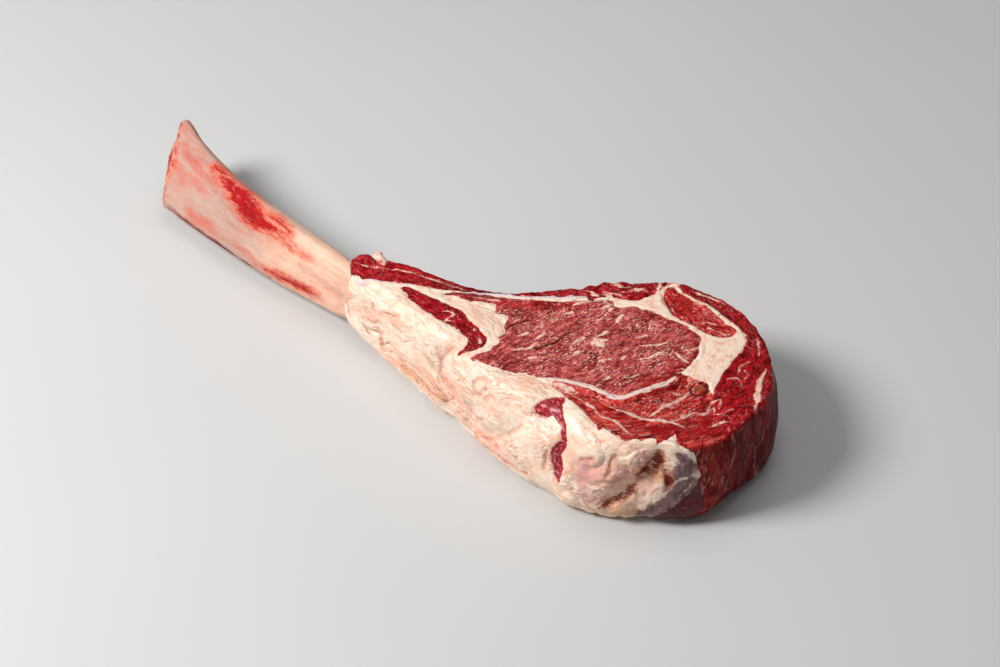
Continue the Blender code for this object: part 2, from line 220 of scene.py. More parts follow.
# Folds and hollows that the solids have too: the line of each, its width and its depth
FOLDS = [
    ([(51, -46, 52), (45, -49, 44), (44, -50, 35), (48, -52, 27), (58, -55, 18), (70, -59, 13)], 6, 3.0),
    ([(-36, -28, 28), (-20, -33, 34), (-13, -36, 30), (-7, -38, 22), (-2, -38, 13)], 5, 2.5),
    ([(65, -56, 8), (78, -60, 13), (94, -65, 25), (106, -65, 38)], 5, 1.6),
    ([(113, -62, 46), (131, -62, 48), (134, -66, 42), (133, -69, 30)], 5, 1.8),
    ([(165, -66, 18), (171, -63, 27), (179, -57, 35), (183, -51, 45)], 6, 3.5),
]

# The knobbly round end of the fat, where its puffs are deepest: centre, reach, depth
KNOBBLY = ((160, -63, 24), 30.0, 1.5)
PLAIN_PUFF_DEPTH = 0.13
WRINKLE_DEPTH = 0.55
# The finely pleated lower edge of the fat near the bone: its line, and how far it reaches
PLEATED = ([(-20, -33, 20), (10, -41, 15), (30, -47, 14), (50, -52, 10)], 8.0)

# Scraps that curl up from the flesh at the neck and at the right, drawn as a run of small
# balls. The last number of a point is the radius.
SCRAP_BALLS = 30
SCRAPS = [
    [(-37, -19, 38, 1.6), (-38, -17, 42, 2.3), (-38.5, -14, 45.5, 2.4), (-36, -12, 47, 2.2),
     (-31, -12.5, 46, 1.6)],
    [(-33, -10, 43, 2.0), (-33, -8, 46.5, 1.9), (-31.5, -6.5, 49, 1.4)],
    [(-33, -8.5, 45, 1.6), (-30, -8, 47.5, 1.7), (-26, -8.5, 46, 1.6)],
    [(181, -36, 47, 1.6), (180.5, -35, 51, 1.4), (180, -34.5, 53, 0.8)],
]

# Soft knobs and dips: centre, width and rise
KNOBS = [
    ((158, -66, 27), 7, 1.6),
    ((169, -58, 44), 5, 1.5),
    ((153, -64, 43), 6, 1.2),
    ((142, -71, 14), 7, 1.4),
    ((167, -62, 10), 6, 1.8),
    ((184, -50, 31), 5, 1.4),
    ((184, -45, 45), 4, 1.0),
    ((60, -54, 30), 7, 1.2),
    ((-39, -17, 46), 5, 1.6),
    ((-35, -27, 18), 6, 1.5),
    ((52, -49, 44), 5, 1.0),
    ((-41, -25, 36), 6, 2.0),
    ((30, 4, 50), 24, -3.2),
]

# Marks drawn on the flesh and the bone. Each is a line of points, and the last number of a
# point is half the mark's width there, and below 0 it leaves only the mark's soft surround.
# A point of three numbers is on plan, and its mark runs down through the steak; one of four
# is on the surface.
MARKS = {
    "vein": [
        [(110, -6, 0.3), (110.5, -2, 2.3), (112, -1, 2.7), (113.5, -3, 2.1), (117, -3.4, 0.3)],
        [(78, -34, 0.3), (83, -30, 0.8), (85, -26, 0.9), (85, -20, 0.3)],
        [(110, 16.5, 0.3), (109.5, 20.5, 0.9), (109.4, 23.4, 1), (109.8, 25.2, 0.3)],
        [(135, -1, 0.3), (140, 3, 0.8), (142, 8, 0.8), (145, 14, 0.3)],
        [(149, 14, 0.3), (153, 13, 0.9), (158, 13, 0.3)],
        [(156, 5, 0.1), (160, 7, 0.6), (162, 4, 0.1)],
        [(120, -14, 0.5), (124, -9, 0.8)],
        [(131, 9, 0.4), (137, 14, 0.9), (141, 20, 0.4)],
        [(140, -16, 0.4), (143, -11, 0.8)],
        [(83.3, 15.9, 0.3), (84.6, 18.6, 1), (85.9, 21.2, 1.1), (87.1, 24.1, 1.3), (88.8, 26.8, 0.3)],
        [(96.8, 21.6, 0.3), (97.7, 24.3, 0.9), (98.5, 26.4, 1), (99.3, 29.4, 0.3)],
        [(101.5, 20.6, 0.3), (101.7, 24.8, 0.9), (103.1, 28.8, 0.3)],
        [(84, 30, 0.1), (92, 36, 0.6), (98, 43, 0.1)],
        [(119.5, 62, 0.1), (119, 68, 0.6), (116.5, 74, 0.1)],
        [(116, 60, 0.1), (111, 58, 0.9), (108, 62, 0.1)],
        [(146.2, 42.6, 0.1), (146.9, 45.3, 0.6), (149.8, 47.6, 0.5), (154.5, 48.5, 0.1)],
        [(148.5, 42.8, 0.1), (153, 43, 0.5), (157.7, 44, 0.5), (161, 44, 0.5), (162.8, 46.5, 0.1)],
        [(141, -38, 0.1), (151, -37, 0.9), (158, -36, 1.1), (166, -34, 1.2), (173, -30, 1.0),
         (183, -28, 0.1)],
        [(163, -35, 0.1), (164, -28, 1.0), (166, -19, 1.0), (169, -11, 0.9), (170, -2, 0.6), (170, 3, 0.1)],
        [(160, -10, 0.1), (165, -9, 0.7), (169, -7, 0.1)],
        [(173, -31, 0.1), (177, -24, 0.8), (180, -17, 0.7), (185, -14, 0.6), (187, -8, 0.1)],
        [(142, -47, 0.1), (153, -46, 0.8), (160, -48, 0.8), (164, -49, 0.1)],
        [(125, -42, 0.3), (134, -43, 0.9), (144, -47, 0.3)],
        [(110, -42.5, 0.3), (116, -40.5, 1), (125, -38.5, 0.3)],
        [(113, -44.5, 0.3), (118, -42.5, 0.9), (124, -40.5, 0.3)],
        [(185, -12, 0.1), (184, -4, 0.5), (187, -1, 0.5), (189, -7, 0.1)],
        [(192, -22, 0.1), (195, -16, 0.6), (200, -12, 0.1)],
        [(184, -14, 0.1), (190, -12, 0.5), (196, -4, 0.1)],
        [(193, 33, 0.1), (195, 25, 1.1), (198, 17, 1.5), (202, 10, 1.4), (205, 1, 0.1)],
        [(183, 21, 0.1), (181, 28, 0.4), (183, 34, 0.1)],
        [(184, 26, 0.1), (188, 24, 0.5), (187, 18, 0.1)],
        [(181, 14, 0.1), (185, 18, 0.4), (190, 14, 0.1)],
        [(185, 40, 0.1), (180, 47, 0.5), (174, 54, 0.1)],
        [(80.3, 31.7, 0.3), (83, 32.2, 1), (86.6, 31.6, 0.9), (88.7, 31.8, 0.3)],
        [(88, 45, 0.1), (95, 45, 0.8), (99, 49, 0.1)],
        [(100, 44, 0.1), (104, 49, 0.7), (109, 51, 0.1)],
        [(107, 58, 0.1), (113, 54, 0.8), (113, 50, 0.7), (110, 45, 0.1)],
        [(98, 54, 0.2), (104, 55, 0.2)],
        [(88, 36, 0.1), (95, 38, 0.8), (102, 39, 0.1)],
        [(127, 64, 0.1), (134, 66, 0.7), (148, 66, 0.1)],
        [(27, -26.4, 0.1), (31, -24.2, 0.6), (34.2, -25.7, 0.6), (34, -30.2, 0.5), (34.3, -32.4, 0.6),
         (39, -30.8, 0.1)],
        [(57.8, -34.8, 0.7), (60, -36.6, 0.9)],
        [(31, -8.2, 0.1), (37, -5.4, 0.6), (43, -3.2, 0.6), (48, -1.5, 0.1)],
        [(51, -30, 0.7)],
        [(-36, -17.5, 0.1), (-25.7, -13.6, 0.3), (-14, -9.4, 0.4), (-1.4, -6.7, 0.4), (12, -4.8, 0.5),
         (26, -3, 0.1)],
        [(-35, -10, 44, 2.2), (-32.5, -7.5, 50, 2.4), (-27, -8.3, 47, 2.2)],
        [(196, 33, 51, 0.1), (204, 24, 49, 0.4), (206, 20, 42, 0.4), (208, 13, 34, 0.4), (208, 3, 27, 0.1)],
        [(199, -15, 52, 0.1), (204, -19, 50, 0.9), (206, -19, 42, 0.9), (207, -21, 35, 0.8),
         (206, -26, 30, 0.1)],
        [(203, -33, 38, 0.1), (202, -34, 31, 0.7), (201, -36, 24, 0.1)],
        [(195, -39, 41, 0.1), (196, -40, 33, 0.6), (194, -43, 24, 0.6), (189, -49, 14, 0.1)],
    ],
    # Cracks, drawn dark as painted shade in them; one runs along the corner muscle's sunken left edge
    "crack": [
        [(88, -28, 0.4), (89, -20, 0.6), (92, -15, 0.7), (93, -7, 0.6), (97, 3, 0.3)],
        [(110, -14, 0.3), (115, -10, 0.5), (119, -15, 0.4), (121, -22, 0.2)],
        [(66, -25, 0.4), (65, -17, 0.5), (70, -7, 0.3)],
        [(75, -38, 0.3), (88, -37, 0.4), (101, -33, 0.3)],
        [(137, -20, 0.3), (144, -12, 0.4), (149, -4, 0.3)],
        [(168.6, 0.5, 0.5), (169.2, -2.4, 0.8), (172, -4, 0.9), (175.5, -3, 0.8), (177, 0.5, 1.2),
         (176, 3, 1.4), (173, 4, 0.9), (170, 3.4, 0.6)],
        [(116, 52.2, 0.4), (118.9, 50.2, 0.7), (122.6, 47.2, 0.8), (126.6, 44.2, 0.6), (130, 41.8, 0.3)],
    ],
    "skin": [
        [(-34, -26, 0.8), (-26, -25.2, 1.0), (-16, -22.8, 0.7), (-5, -18.8, 0.5), (8, -13.4, 0.3)],
        [(24, -5.8, 0.4), (43, 3.6, 0.8), (55, 8, 0.9), (68, 16, 1.0), (80, 25.4, 1.2), (84.4, 27, 1.0)],
        [(188, -48, 28, 0.4), (190, -46, 31, 0.6), (193, -43, 33, 0.6), (195, -41, 35, 0.4)],
        [(189, -42, 48, 0.2), (192, -42, 45, 0.4), (195, -40, 42, 0.4), (197, -37, 40, 0.1)],
        [(-42, -20, 40, 0.8), (-39, -24, 42, 1.3), (-33, -26.5, 43, 1.3), (-26, -27, 45, 0.8)],
    ],
    "streak": [
        [(121, -47.5, 52, 0.8), (120.5, -51, 52, 3.2), (118, -55, 50, 4.8), (114, -59.5, 47.5, 3.4),
         (109, -62, 46, 0.6)],
        [(121, -54, 50.5, 3.6), (126, -57, 48.5, 2.6), (130, -60.5, 46.5, 1.7), (133, -64.5, 41, 1.4)],
        [(133, -65.5, 39, 2.0), (131, -68, 34, 3.0), (131.5, -69, 29, 3.4), (133, -70, 24, 3.0),
         (134, -70, 18, 0.8)],
    ],
    "crease": [
        [(50, -46, 49, 0.2), (44, -46, 41, 0.4), (41, -47, 32, 0.5), (42, -48, 27, 0.5),
         (46, -49, 26, 0.2)],
        [(44, -49, 25, 0.3), (49, -49, 23, 0.4), (56, -51, 22, 0.4), (60, -52, 19, 0.2)],
        [(41, -49, 25, 0.3), (44, -50, 18, 0.5), (51, -51, 12, 0.6), (60, -53, 9, 0.5), (70, -54, 4, 0.4)],
        [(0, -37, 9, 0.2), (18, -43, 12, 0.4), (30, -47, 14, 0.4), (40, -50, 12, 0.3)],
        [(8, -40, 15, 0.2), (23, -45, 18, 0.4), (33, -48, 19, 0.4), (44, -50, 15, 0.3)],
        [(20, -44, 19, 0.2), (30, -47, 22, 0.4), (40, -49, 19, 0.4), (47, -50, 14, 0.2)],
        [(-36, -28, 26, 0.3), (-27, -30, 28, 0.5), (-18, -32, 29, 0.5), (-12, -34, 22, 0.5),
         (-8, -35, 12, 0.3)],
        [(-17, -31, 37, 0.2), (-16, -31, 31, 0.4), (-5, -35, 39, 0.3), (5, -37, 42, 0.2)],
        [(72, -58, 38, 0.3), (70, -57, 42, 0.4), (74, -57, 47, 0.4), (81, -57, 50, 0.2)],
        [(72, -58, 38, 0.3), (76, -58, 39, 0.3), (80, -58, 45, 0.2)],
        [(80, -60, 39, 0.2), (84, -61, 43, 0.4), (87, -61, 43, 0.2)],
        [(67, -54, 11, 0.3), (73, -56, 18, 0.5), (79, -60, 24, 0.2)],
        [(68, -54, 5, 0.3), (78, -58, 9, 0.5), (87, -62, 15, 0.6), (97, -65, 26, 0.5), (106, -64, 36, 0.2)],
        [(69, -53, 1, 0.3), (84, -61, 5, 0.5), (96, -64, 7, 0.5), (112, -67, 9, 0.3)],
        [(126, -69, 33, 0.2), (125, -69, 28, 0.4), (124, -70, 21, 0.2)],
        [(90, -63, 13, 0.7)],
        [(97, -65, 21, 0.6)],
        [(146, -67, 37, 0.2), (152, -66, 40, 0.4)],
        [(162, -61, 43, 0.2), (161, -63, 39, 0.4), (161, -65, 33, 0.2)],
        [(-41, -26, 26, 0.4), (-38, -28, 22, 0.5), (-34, -30, 19, 0.3)],
        [(-39, -27, 37, 0.2), (-33, -29, 39, 0.4), (-26, -29, 42, 0.2)],
    ],
    "membrane": [
        [(189, -43, 46, 1.5), (192, -43, 42, 3.2), (194, -41, 38, 4.0), (190, -45, 35, 3.4),
         (187, -47, 33, 2.0)],
        [(174, -56, 5, 2.0), (181, -54, 10, 4.2), (187, -51, 15, 5.5), (191, -47, 20, 6.2),
         (194, -43, 26, 6.0), (195, -42, 31, 3.5)],
    ],
    "lilac": [
        [(147, -70, 15, 2.0), (152, -69, 14, 3.0), (157, -66, 17, 2.0)],
        [(147, -67, 37, 1.5), (148, -68, 29, 2.5), (147, -69, 20, 1.5)],
        [(172, -55, 46, 2.0), (176, -52, 44, 2.5), (173, -55, 38, 1.5)],
        [(113, -60, 45, 1.5), (118, -58, 47, 1.8)],
    ],
    "hollow": [
        [(180, -47, 45, 0.6), (178, -49, 41, 2.0), (176.5, -51.5, 36, 2.4), (174, -54.5, 31, 1.2),
         (172, -57, 26, 0.2), (169, -59, 20, 1.0), (167, -60, 16, 0.4)],
        [(157, -66, 10, 0.2), (162, -63, 13, 1.4), (166, -61, 17, 1.2), (169, -59, 18, 0.2)],
        [(184.5, -48, 35, 0.2), (186, -48.5, 31, 1.2), (187, -49, 27, 0.6)],
    ],
    "tan": [
        [(29, -45, 33, 1.0), (34, -47, 32, 2.0), (37, -47, 29, 1.0)],
        [(163, -63, 10, 4.0), (172, -58, 9, 4.0)],
        [(181, -46, 44, 2.0), (182, -49, 36, 2.6), (179, -52, 30, 2.4)],
        [(10, -40, 10, 2.0), (28, -46, 13, 2.5), (44, -50, 13, 2.5)],
        [(170.4, 0.4, 1.4), (172.8, 0, 1.9), (174.2, 1.8, 1.1)],
        # Along the rib's rounded upper edge: a tan band that is painted shade
        [(-125, -2, 46, 2.0), (-100, -8, 46.5, 3.0), (-76, -11, 46.5, 3.5), (-47, -13, 45, 3.5)],
    ],
    "red": [
        [(18, -13, 2.0), (45, -5, 4.5), (60, 2, 4.5), (76, 12, 4.0), (92, 23, 3.0)],
        [(112, 31, 1.5), (132, 34, 2.0), (148, 33, 2.5), (158, 24, 3.0), (160, 12, 3.0), (156, 0, 3.5),
         (150, -12, 4.0)],
        [(148, -24, 3.0), (154, -10, 5.0), (156, 8, 3.0)],
        [(150, -42, 0.5), (170, -40, 2.5), (184, -30, 9.0), (192, -22, 8.0)],
        [(190, -20, 8.0), (190, 0, 10.0), (190, 22, 10.0), (184, 44, 8.0)],
        [(56, -28, 1.0), (50, -33, 1.5), (30, -27, 0.5)],
        [(118, 53, 3.5), (140, 48, 5.0), (160, 45, 4.5)],
    ],
    "meat": [
        [(116, 82, 3.4), (115.8, 70, 2.6), (115.4, 65, 1.6), (114, 60, 0.6)],
        [(85.6, 26.4, 0.8), (87.4, 27, 1.2)],
        # The next two darken the fat's lower right wall with dark meat colour: meat of the outer muscle
        # shows there, and its darkness is painted shade
        [(203, -34, 36, 2.0), (201, -38, 26, 4.6), (197, -43, 15, 5.4), (190, -49, 6, 6.0),
         (180, -55, 0, 4.6)],
        [(206, -32, 30, 5.0), (206, -37, 20, 7.0), (202, -42, 8, 8.0), (194, -48, 0, 7.0)],
    ],
    # Dark red on the rib: dried blood, and along the lower rounded edge also painted shade where it turns
    # under
    "bruise_and_shade": [
        [(-200, -4, 17, 0.4), (-185, -9, 13, 0.9), (-165, -13, 11, 1.2), (-145, -16, 11, 1.3),
         (-125, -20, 10, 1.0), (-100, -22, 9, 0.4)],
        [(-208, 17, 36, 0.6), (-204, 8, 28, 1.2), (-200, 2, 22, 1.0)],
    ],
    "blush": [
        [(150, -66, 30, 9.0), (175, -58, 30, 9.0)],
        [(70, -55, 8, 3.0), (100, -66, 14, 4.0)],
        [(45, -48, 30, 2.0), (60, -54, 16, 3.0)],
        [(-36, -28, 24, 3.0), (-15, -33, 28, 2.0)],
        [(37, -44, 44, 0.6), (41, -46, 38, 1.6)],
        [(-112, -21, 13, 1.5), (-95, -23, 15, 2.5), (-80, -24, 16, 3.0), (-60, -25, 17, 1.5)],
        [(-202, 17, 40, 2.0), (-188, 12, 40, 3.0), (-177, 10, 42, 3.0), (-168, 8, 44, 1.5)],
        [(-164, 2, 40, 2.0), (-150, -4, 37, 2.5), (-130, -12, 34, 2.0), (-104, -17, 35, 2.0),
         (-85, -19, 38, 2.0)],
        [(-77, -22, 31, 1.0), (-45, -26, 27, 2.0)],
    ],
    "blood": [
        [(-164, 7, 44, 0.2), (-153, 3, 43.5, 1.0), (-144, -1, 43, 2.0), (-136, -4, 42, 3.8),
         (-127, -8, 41, 5.2), (-117, -12, 40, 4.4), (-107, -14, 40, 1.6), (-98, -16, 41, -0.4),
         (-88, -17, 43, -1.5)],
        [(-205, 12, 37, 1.5), (-203, 7, 32, 3.0), (-201, 4, 27, 1.5)],
        [(-104, -22, 14, -1.5), (-95, -23, 15, -0.4), (-83, -24, 16, 0.7), (-70, -24, 16.5, 0.2),
         (-63, -25, 18, -1.5)],
        [(-107, -11, 45, -0.6), (-100, -12, 45, 0.2), (-94, -14, 45, -0.8), (-85, -17, 44, -2.5)],
        [(-207, 4, 30, 1.5), (-205, 2, 25, 2.6), (-204, 1, 20, 1.0)],
        [(-98, -16, 40, -0.6), (-88, -18, 39, -1.4), (-80, -19, 40, -3.0)],
        [(-86, -19, 36, -3.0), (-76, -20, 38, -1.6), (-66, -20, 38, -2.2), (-56, -21, 38, -3.5)],
    ],
}
# Short flecks of fat on the eye: from where on plan, and to where, growing wider
FLECKS = [
    (111, -1.5, 108.4, -0.4), (112, -1, 113.6, 2), (101, -10, 103, -3), (106, -21, 107, -14),
    (74, -22, 76, -16), (83, -19, 84, -12), (126, 13, 129, 18), (129, -6, 130, -3),
    (152, 18, 157, 26), (82, 7, 86, 11), (90, -34, 92, -31), (108, 2, 110, 8),
]
FLECK_FROM, FLECK_TO = 0.5, 0.9
MARKS["vein"] += [[(a, b, FLECK_FROM), (c, d, FLECK_TO)] for a, b, c, d in FLECKS]
# How far each mark stands out of the surface, and how softly
MARK_RELIEF = {
    "vein": (0.12, 0.5),
    "crack": (-0.9, 0.6),
    "skin": (0.35, 0.8),
    "streak": (-0.7, 1.0),
    "crease": (-1.6, 2.0),
    "hollow": (-1.8, 2.2),
}
MARK_REACH = 9.0
# The marks that each finish draws
LEAN_MARKS = ("vein", "skin", "tan", "crack", "red")
FAT_MARKS = ("vein", "skin", "tan", "meat", "blush", "crease", "membrane", "lilac", "hollow", "streak")
FINISH_MARKS = {
    "eye_lean": LEAN_MARKS,
    "cap_lean": LEAN_MARKS,
    "outer_lean": LEAN_MARKS,
    "outer_fat": FAT_MARKS,
    "seam_fat": ("meat",),
    "silverskin": (),
    "bone": ("blush", "tan", "blood", "bruise_and_shade"),
}

# The rib from its sawn end to the end held in the meat: centre x, y and z, width across
# its broad face, thickness, and lean of that face from upright in degrees
RIB = [
    (-216, 19, 26, 48, 13, 45),
    (-190, 8, 26, 45, 13, 39),
    (-150, -3, 26, 41, 14, 28),
    (-110, -11, 26, 41, 15, 17),
    (-78, -15, 26, 40, 16, 8),
    (-50, -18, 25.5, 38.5, 16, 1),
    (-34, -19.5, 25, 33, 13, 0),
    (-18, -21, 25, 28, 10, 0),
]
RIB_SQUARENESS = 2.8
RIB_SECTIONS = 300
RIB_SECTION_POINTS = 160
SAW_CUT_POINT = (-202, 11, 28)
SAW_CUT_NORMAL = (-0.79, -0.58, 0.23)
# How far the sawn end's middle stands out, at what height, how far up and down from there,
# and how far along the rib
SAW_CUT_BULGE, SAW_CUT_BULGE_Z = 3.2, 21.0
SAW_CUT_BULGE_REACH, SAW_CUT_BULGE_DEPTH = 13.0, 4.0
# How rough the saw left the bone, and how far from the cut
SAW_ROUGHNESS, SAW_ROUGHNESS_SIZE, SAW_ROUGHNESS_REACH = 0.6, 2.2, 3.0
SOCKET_FROM_X = -70.0

# ---------------------------------------------------------------- meshes


def add_object(name, data):
    made = bpy.data.objects.new(name, data)
    bpy.context.scene.collection.objects.link(made)
    return made


def evaluated_mesh(source):
    """The object's mesh with its modifiers applied."""
    bpy.context.view_layer.update()
    return bpy.data.meshes.new_from_object(source.evaluated_get(bpy.context.evaluated_depsgraph_get()))


def mesh_from(build, name):
    bmesh.ops.recalc_face_normals(build, faces=build.faces)
    mesh = bpy.data.meshes.new(name)
    build.to_mesh(mesh)
    build.free()
    return mesh


def add_rings(build, rings):
    """Joins rings of equally many points by quads, and gives the rows of their vertices."""
    rows = [[build.verts.new(p) for p in ring] for ring in rings]
    for first, second in zip(rows, rows[1:]):
        for i in range(len(first)):
            j = (i + 1) % len(first)
            build.faces.new((first[i], first[j], second[j], second[i]))
    return rows


def refined(build, name):
    """The form in build as one closed mesh of even fine faces."""
    coarse = add_object(name, mesh_from(build, name))
    remesh = coarse.modifiers.new("fine", "REMESH")
    remesh.mode = "VOXEL"
    remesh.voxel_size = FLESH_STEP
    fine = evaluated_mesh(coarse)
    bpy.data.objects.remove(coarse)
    return fine


def points_of(mesh):
    places = np.empty(len(mesh.vertices) * 3, np.float32)
    mesh.vertices.foreach_get("co", places)
    return places.reshape(-1, 3).astype(float)


def move_points(mesh, places):
    mesh.vertices.foreach_set("co", places.astype(np.float32).ravel())
    mesh.update()


def push_out(mesh, places, rise):
    """Moves each point out along the surface's normal there."""
    normals = np.empty(len(places) * 3, np.float32)
    mesh.vertex_normals.foreach_get("vector", normals)
    moved = places + normals.reshape(-1, 3) * rise[:, None]
    move_points(mesh, moved)
    return moved


def evened_out(values, mesh, times):
    """The values of a mesh's points, each drawn towards its neighbours'."""
    ends = np.empty(len(mesh.edges) * 2, np.int32)
    mesh.edges.foreach_get("vertices", ends)
    first, second = ends.reshape(-1, 2).T
    count = len(values)
    neighbours = np.maximum(np.bincount(ends, minlength=count), 1)
    for _ in range(times):
        total = np.bincount(first, values[second], count) + np.bincount(second, values[first], count)
        values = (values + total / neighbours) / 2
    return values


def attribute_to(mesh, name, values):
    """Stores one number, or one vector, at each point for the finishes to read."""
    kind, key = ("FLOAT", "value") if values.ndim == 1 else ("FLOAT_VECTOR", "vector")
    mesh.attributes.new(name, kind, "POINT").data.foreach_set(key, values.astype(np.float32).ravel())


# ---------------------------------------------------------------- lines and places


def smooth_line(points, at, closed):
    """A Catmull-Rom curve through the rows of points, read at the row numbers in at."""
    points = np.asarray(points, float)
    count = len(points)
    row = np.floor(at).astype(int)
    t = (at - row)[:, None]
    if closed:
        near = [points[(row + k) % count] for k in (-1, 0, 1, 2)]
    else:
        ends = np.vstack([2 * points[0] - points[1], points, 2 * points[-1] - points[-2]])
        near = [ends[np.clip(row + 1 + k, 0, count + 1)] for k in (-1, 0, 1, 2)]
    a, b, c, d = near
    return b + 0.5 * t * (c - a + t * (2 * a - 5 * b + 4 * c - d + t * (3 * (b - c) + d - a)))


def rows_along(points, count):
    """That many rows along the smooth open line through some points."""
    return smooth_line(points, np.linspace(0, len(points) - 1 - 1e-9, count), False)


def even_line(points, step, closed):
    """The smooth line through points, at steps of near-equal length on plan."""
    last = len(points) if closed else len(points) - 1
    end = last - 1e-9
    at = np.linspace(0, end, last * 20 + 1)
    fine = smooth_line(points, at, closed)[:, :2]
    run = np.concatenate([[0], np.cumsum(np.linalg.norm(np.diff(fine, axis=0), axis=1))])
    wanted = np.linspace(0, run[-1], round(run[-1] / step) + 1)
    if closed:
        wanted = wanted[:-1]
    return smooth_line(points, np.interp(wanted, run, at), closed)


def eased(share):
    """Goes from 0 to 1 as share does, level at both ends."""
    share = np.clip(share, 0, 1)
    return share * share * (3 - 2 * share)


def hump(distance, width):
    """1 at no distance, falling softly to near 0 at twice the width."""
    return np.exp(-((distance / width) ** 2))


def round_hump(places, centre, width):
    """The same about one point."""
    return np.exp(-(((places - centre) ** 2).sum(axis=1) / width**2))


def noise_at(places):
    """Smooth noise of about -0.7 to 0.7, with lumps one unit long."""
    return np.array([noise.noise(p) for p in places.tolist()])


def layered(places, layers):
    """Relief of a few layers of lumps, each with its height, size and shift."""
    return sum(height * noise_at(places / size + shift) for height, size, shift in layers)


def drift_at(places):
    """A smooth random vector at each place, of about 0.5 in length, with lumps one unit long."""
    return np.array([noise.noise_vector(p)[:] for p in places.tolist()])


def stray(places):
    """How far a line that is drawn on the meat wavers at each place, in millimetres."""
    flat = places if places.shape[1] == 3 else np.column_stack([places, np.zeros(len(places))])
    waver = sum(size * drift_at(flat / length + shift) for size, length, shift in WAVERS)
    return waver[:, :places.shape[1]]


def on_drawing(places):
    """Plan positions at the cut face's level, from which the seams lean as they go down."""
    lean = SEAM_LEAN * (1 - places[:, 2] / STEAK_THICKNESS)
    return np.column_stack([places[:, 0] - lean, places[:, 1]])


def distance_to_line(places, line):
    """How far each point is from the nearest stretch of a line."""
    nearest = np.full(len(places), np.inf)
    for a, b in zip(line[:-1], line[1:]):
        share = np.clip((places - a) @ (b - a) / ((b - a) @ (b - a)), 0, 1)
        nearest = np.minimum(nearest, np.linalg.norm(places - a - share[:, None] * (b - a), axis=1))
    return nearest


def for_marks(places):
    """Places on the surface and on plan, each with the waver that lines have there."""
    plan = on_drawing(places)
    return places + stray(places), plan + stray(plan)


def outside_marks(spots, lines):
    """How far outside the nearest of some marks each point is: negative inside one."""
    surface, plan = spots
    found = np.full(len(plan), MARK_REACH)
    for line in lines:
        line = np.array(line if len(line) > 1 else line * 2, float)
        line = rows_along(line, 3 * len(line))
        centre, half = line[:, :-1], line[:, -1]
        at = surface if centre.shape[1] == 3 else plan
        margin = MARK_REACH + half.max()
        near = ((at > centre.min(axis=0) - margin) & (at < centre.max(axis=0) + margin)).all(axis=1)
        near = np.flatnonzero(near)
        at, nearest = at[near], found[near]
        for a, b, from_half, to_half in zip(centre[:-1], centre[1:], half[:-1], half[1:]):
            share = np.clip((at - a) @ (b - a) / max((b - a) @ (b - a), 1e-9), 0, 1)
            gap = np.linalg.norm(at - a - share[:, None] * (b - a), axis=1)
            nearest = np.minimum(nearest, gap - from_half - share * (to_half - from_half))
        found[near] = nearest
    return found


def along_and_across(plan, line):
    """Where plan points lie against a line: how far across it, and how far along it."""
    nearest, along, across = np.full(len(plan), np.inf), np.zeros(len(plan)), np.zeros(len(plan))
    line = rows_along(line, 4 * len(line))
    run = 0.0
    for i, (a, b) in enumerate(zip(line[:-1], line[1:])):
        step = b - a
        length = np.linalg.norm(step)
        share = (plan - a) @ step / length**2
        share = np.clip(share, 0 if i else -np.inf, 1 if i < len(line) - 2 else np.inf)
        off = plan - a - share[:, None] * step
        gap = np.linalg.norm(off, axis=1)
        nearer = gap < nearest
        nearest[nearer] = gap[nearer]
        along[nearer] = run + share[nearer] * length
        across[nearer] = (np.sign(step[0] * off[:, 1] - step[1] * off[:, 0]) * gap)[nearer]
        run += length
    return across, along


def grain_of(places, name):
    """Places measured across and along a piece's grain, and down through the steak."""
    across, along = along_and_across(on_drawing(places), PIECES[name][2])
    return np.column_stack([across, along, places[:, 2]])


def wrinkles(grain):
    """Fine creases in the outer fat, from 0 to 1: they run with its grain, and come and go."""
    crossing = noise_at(grain / (3.4, 13, 3.4))
    finer = noise_at(grain / (1.7, 8, 1.7) + 20)
    here = eased(0.5 + 1.6 * noise_at(grain / 16 + 60))
    return here * np.maximum(hump(crossing, 0.05), 0.6 * hump(finer, 0.07))


def puffs(places):
    """Puffy lumps of fat: 0 in the creases between them, 1 on the lumps."""
    moved = places + 3 * drift_at(places / 9)
    wide = np.abs(noise_at(moved / 15 + 80)) * 5
    close = np.abs(noise_at(moved / (6, 6, 9) + 90)) * 3.5
    return np.minimum(np.minimum(wide, 0.5 + close), 1)


def puff_depth(places):
    centre, reach, depth = KNOBBLY
    return PLAIN_PUFF_DEPTH + (depth - PLAIN_PUFF_DEPTH) * round_hump(places, centre, reach)


def pleats(places, grain):
    """How deep the fine pleats are that run along the lower edge near the bone, from 0 to 1."""
    line, reach = PLEATED
    here = hump(distance_to_line(places, np.array(line, float)), reach)
    return here * (1 - np.minimum(np.abs(noise_at(grain / (2.8, 30, 2.8) + 70)) * 4.5, 1))


# ---------------------------------------------------------------- the flesh


def cut_face_height(x):
    share = eased((x - NECK_END_X) / (FULL_THICKNESS_X - NECK_END_X))
    return NECK_THICKNESS + (STEAK_THICKNESS - NECK_THICKNESS) * share


def underside_height(x):
    """The neck's collar doesn't reach the table: it lifts towards the bone."""
    return NECK_LIFT * eased((NECK_REST_X - x) / (NECK_REST_X - NECK_END_X))


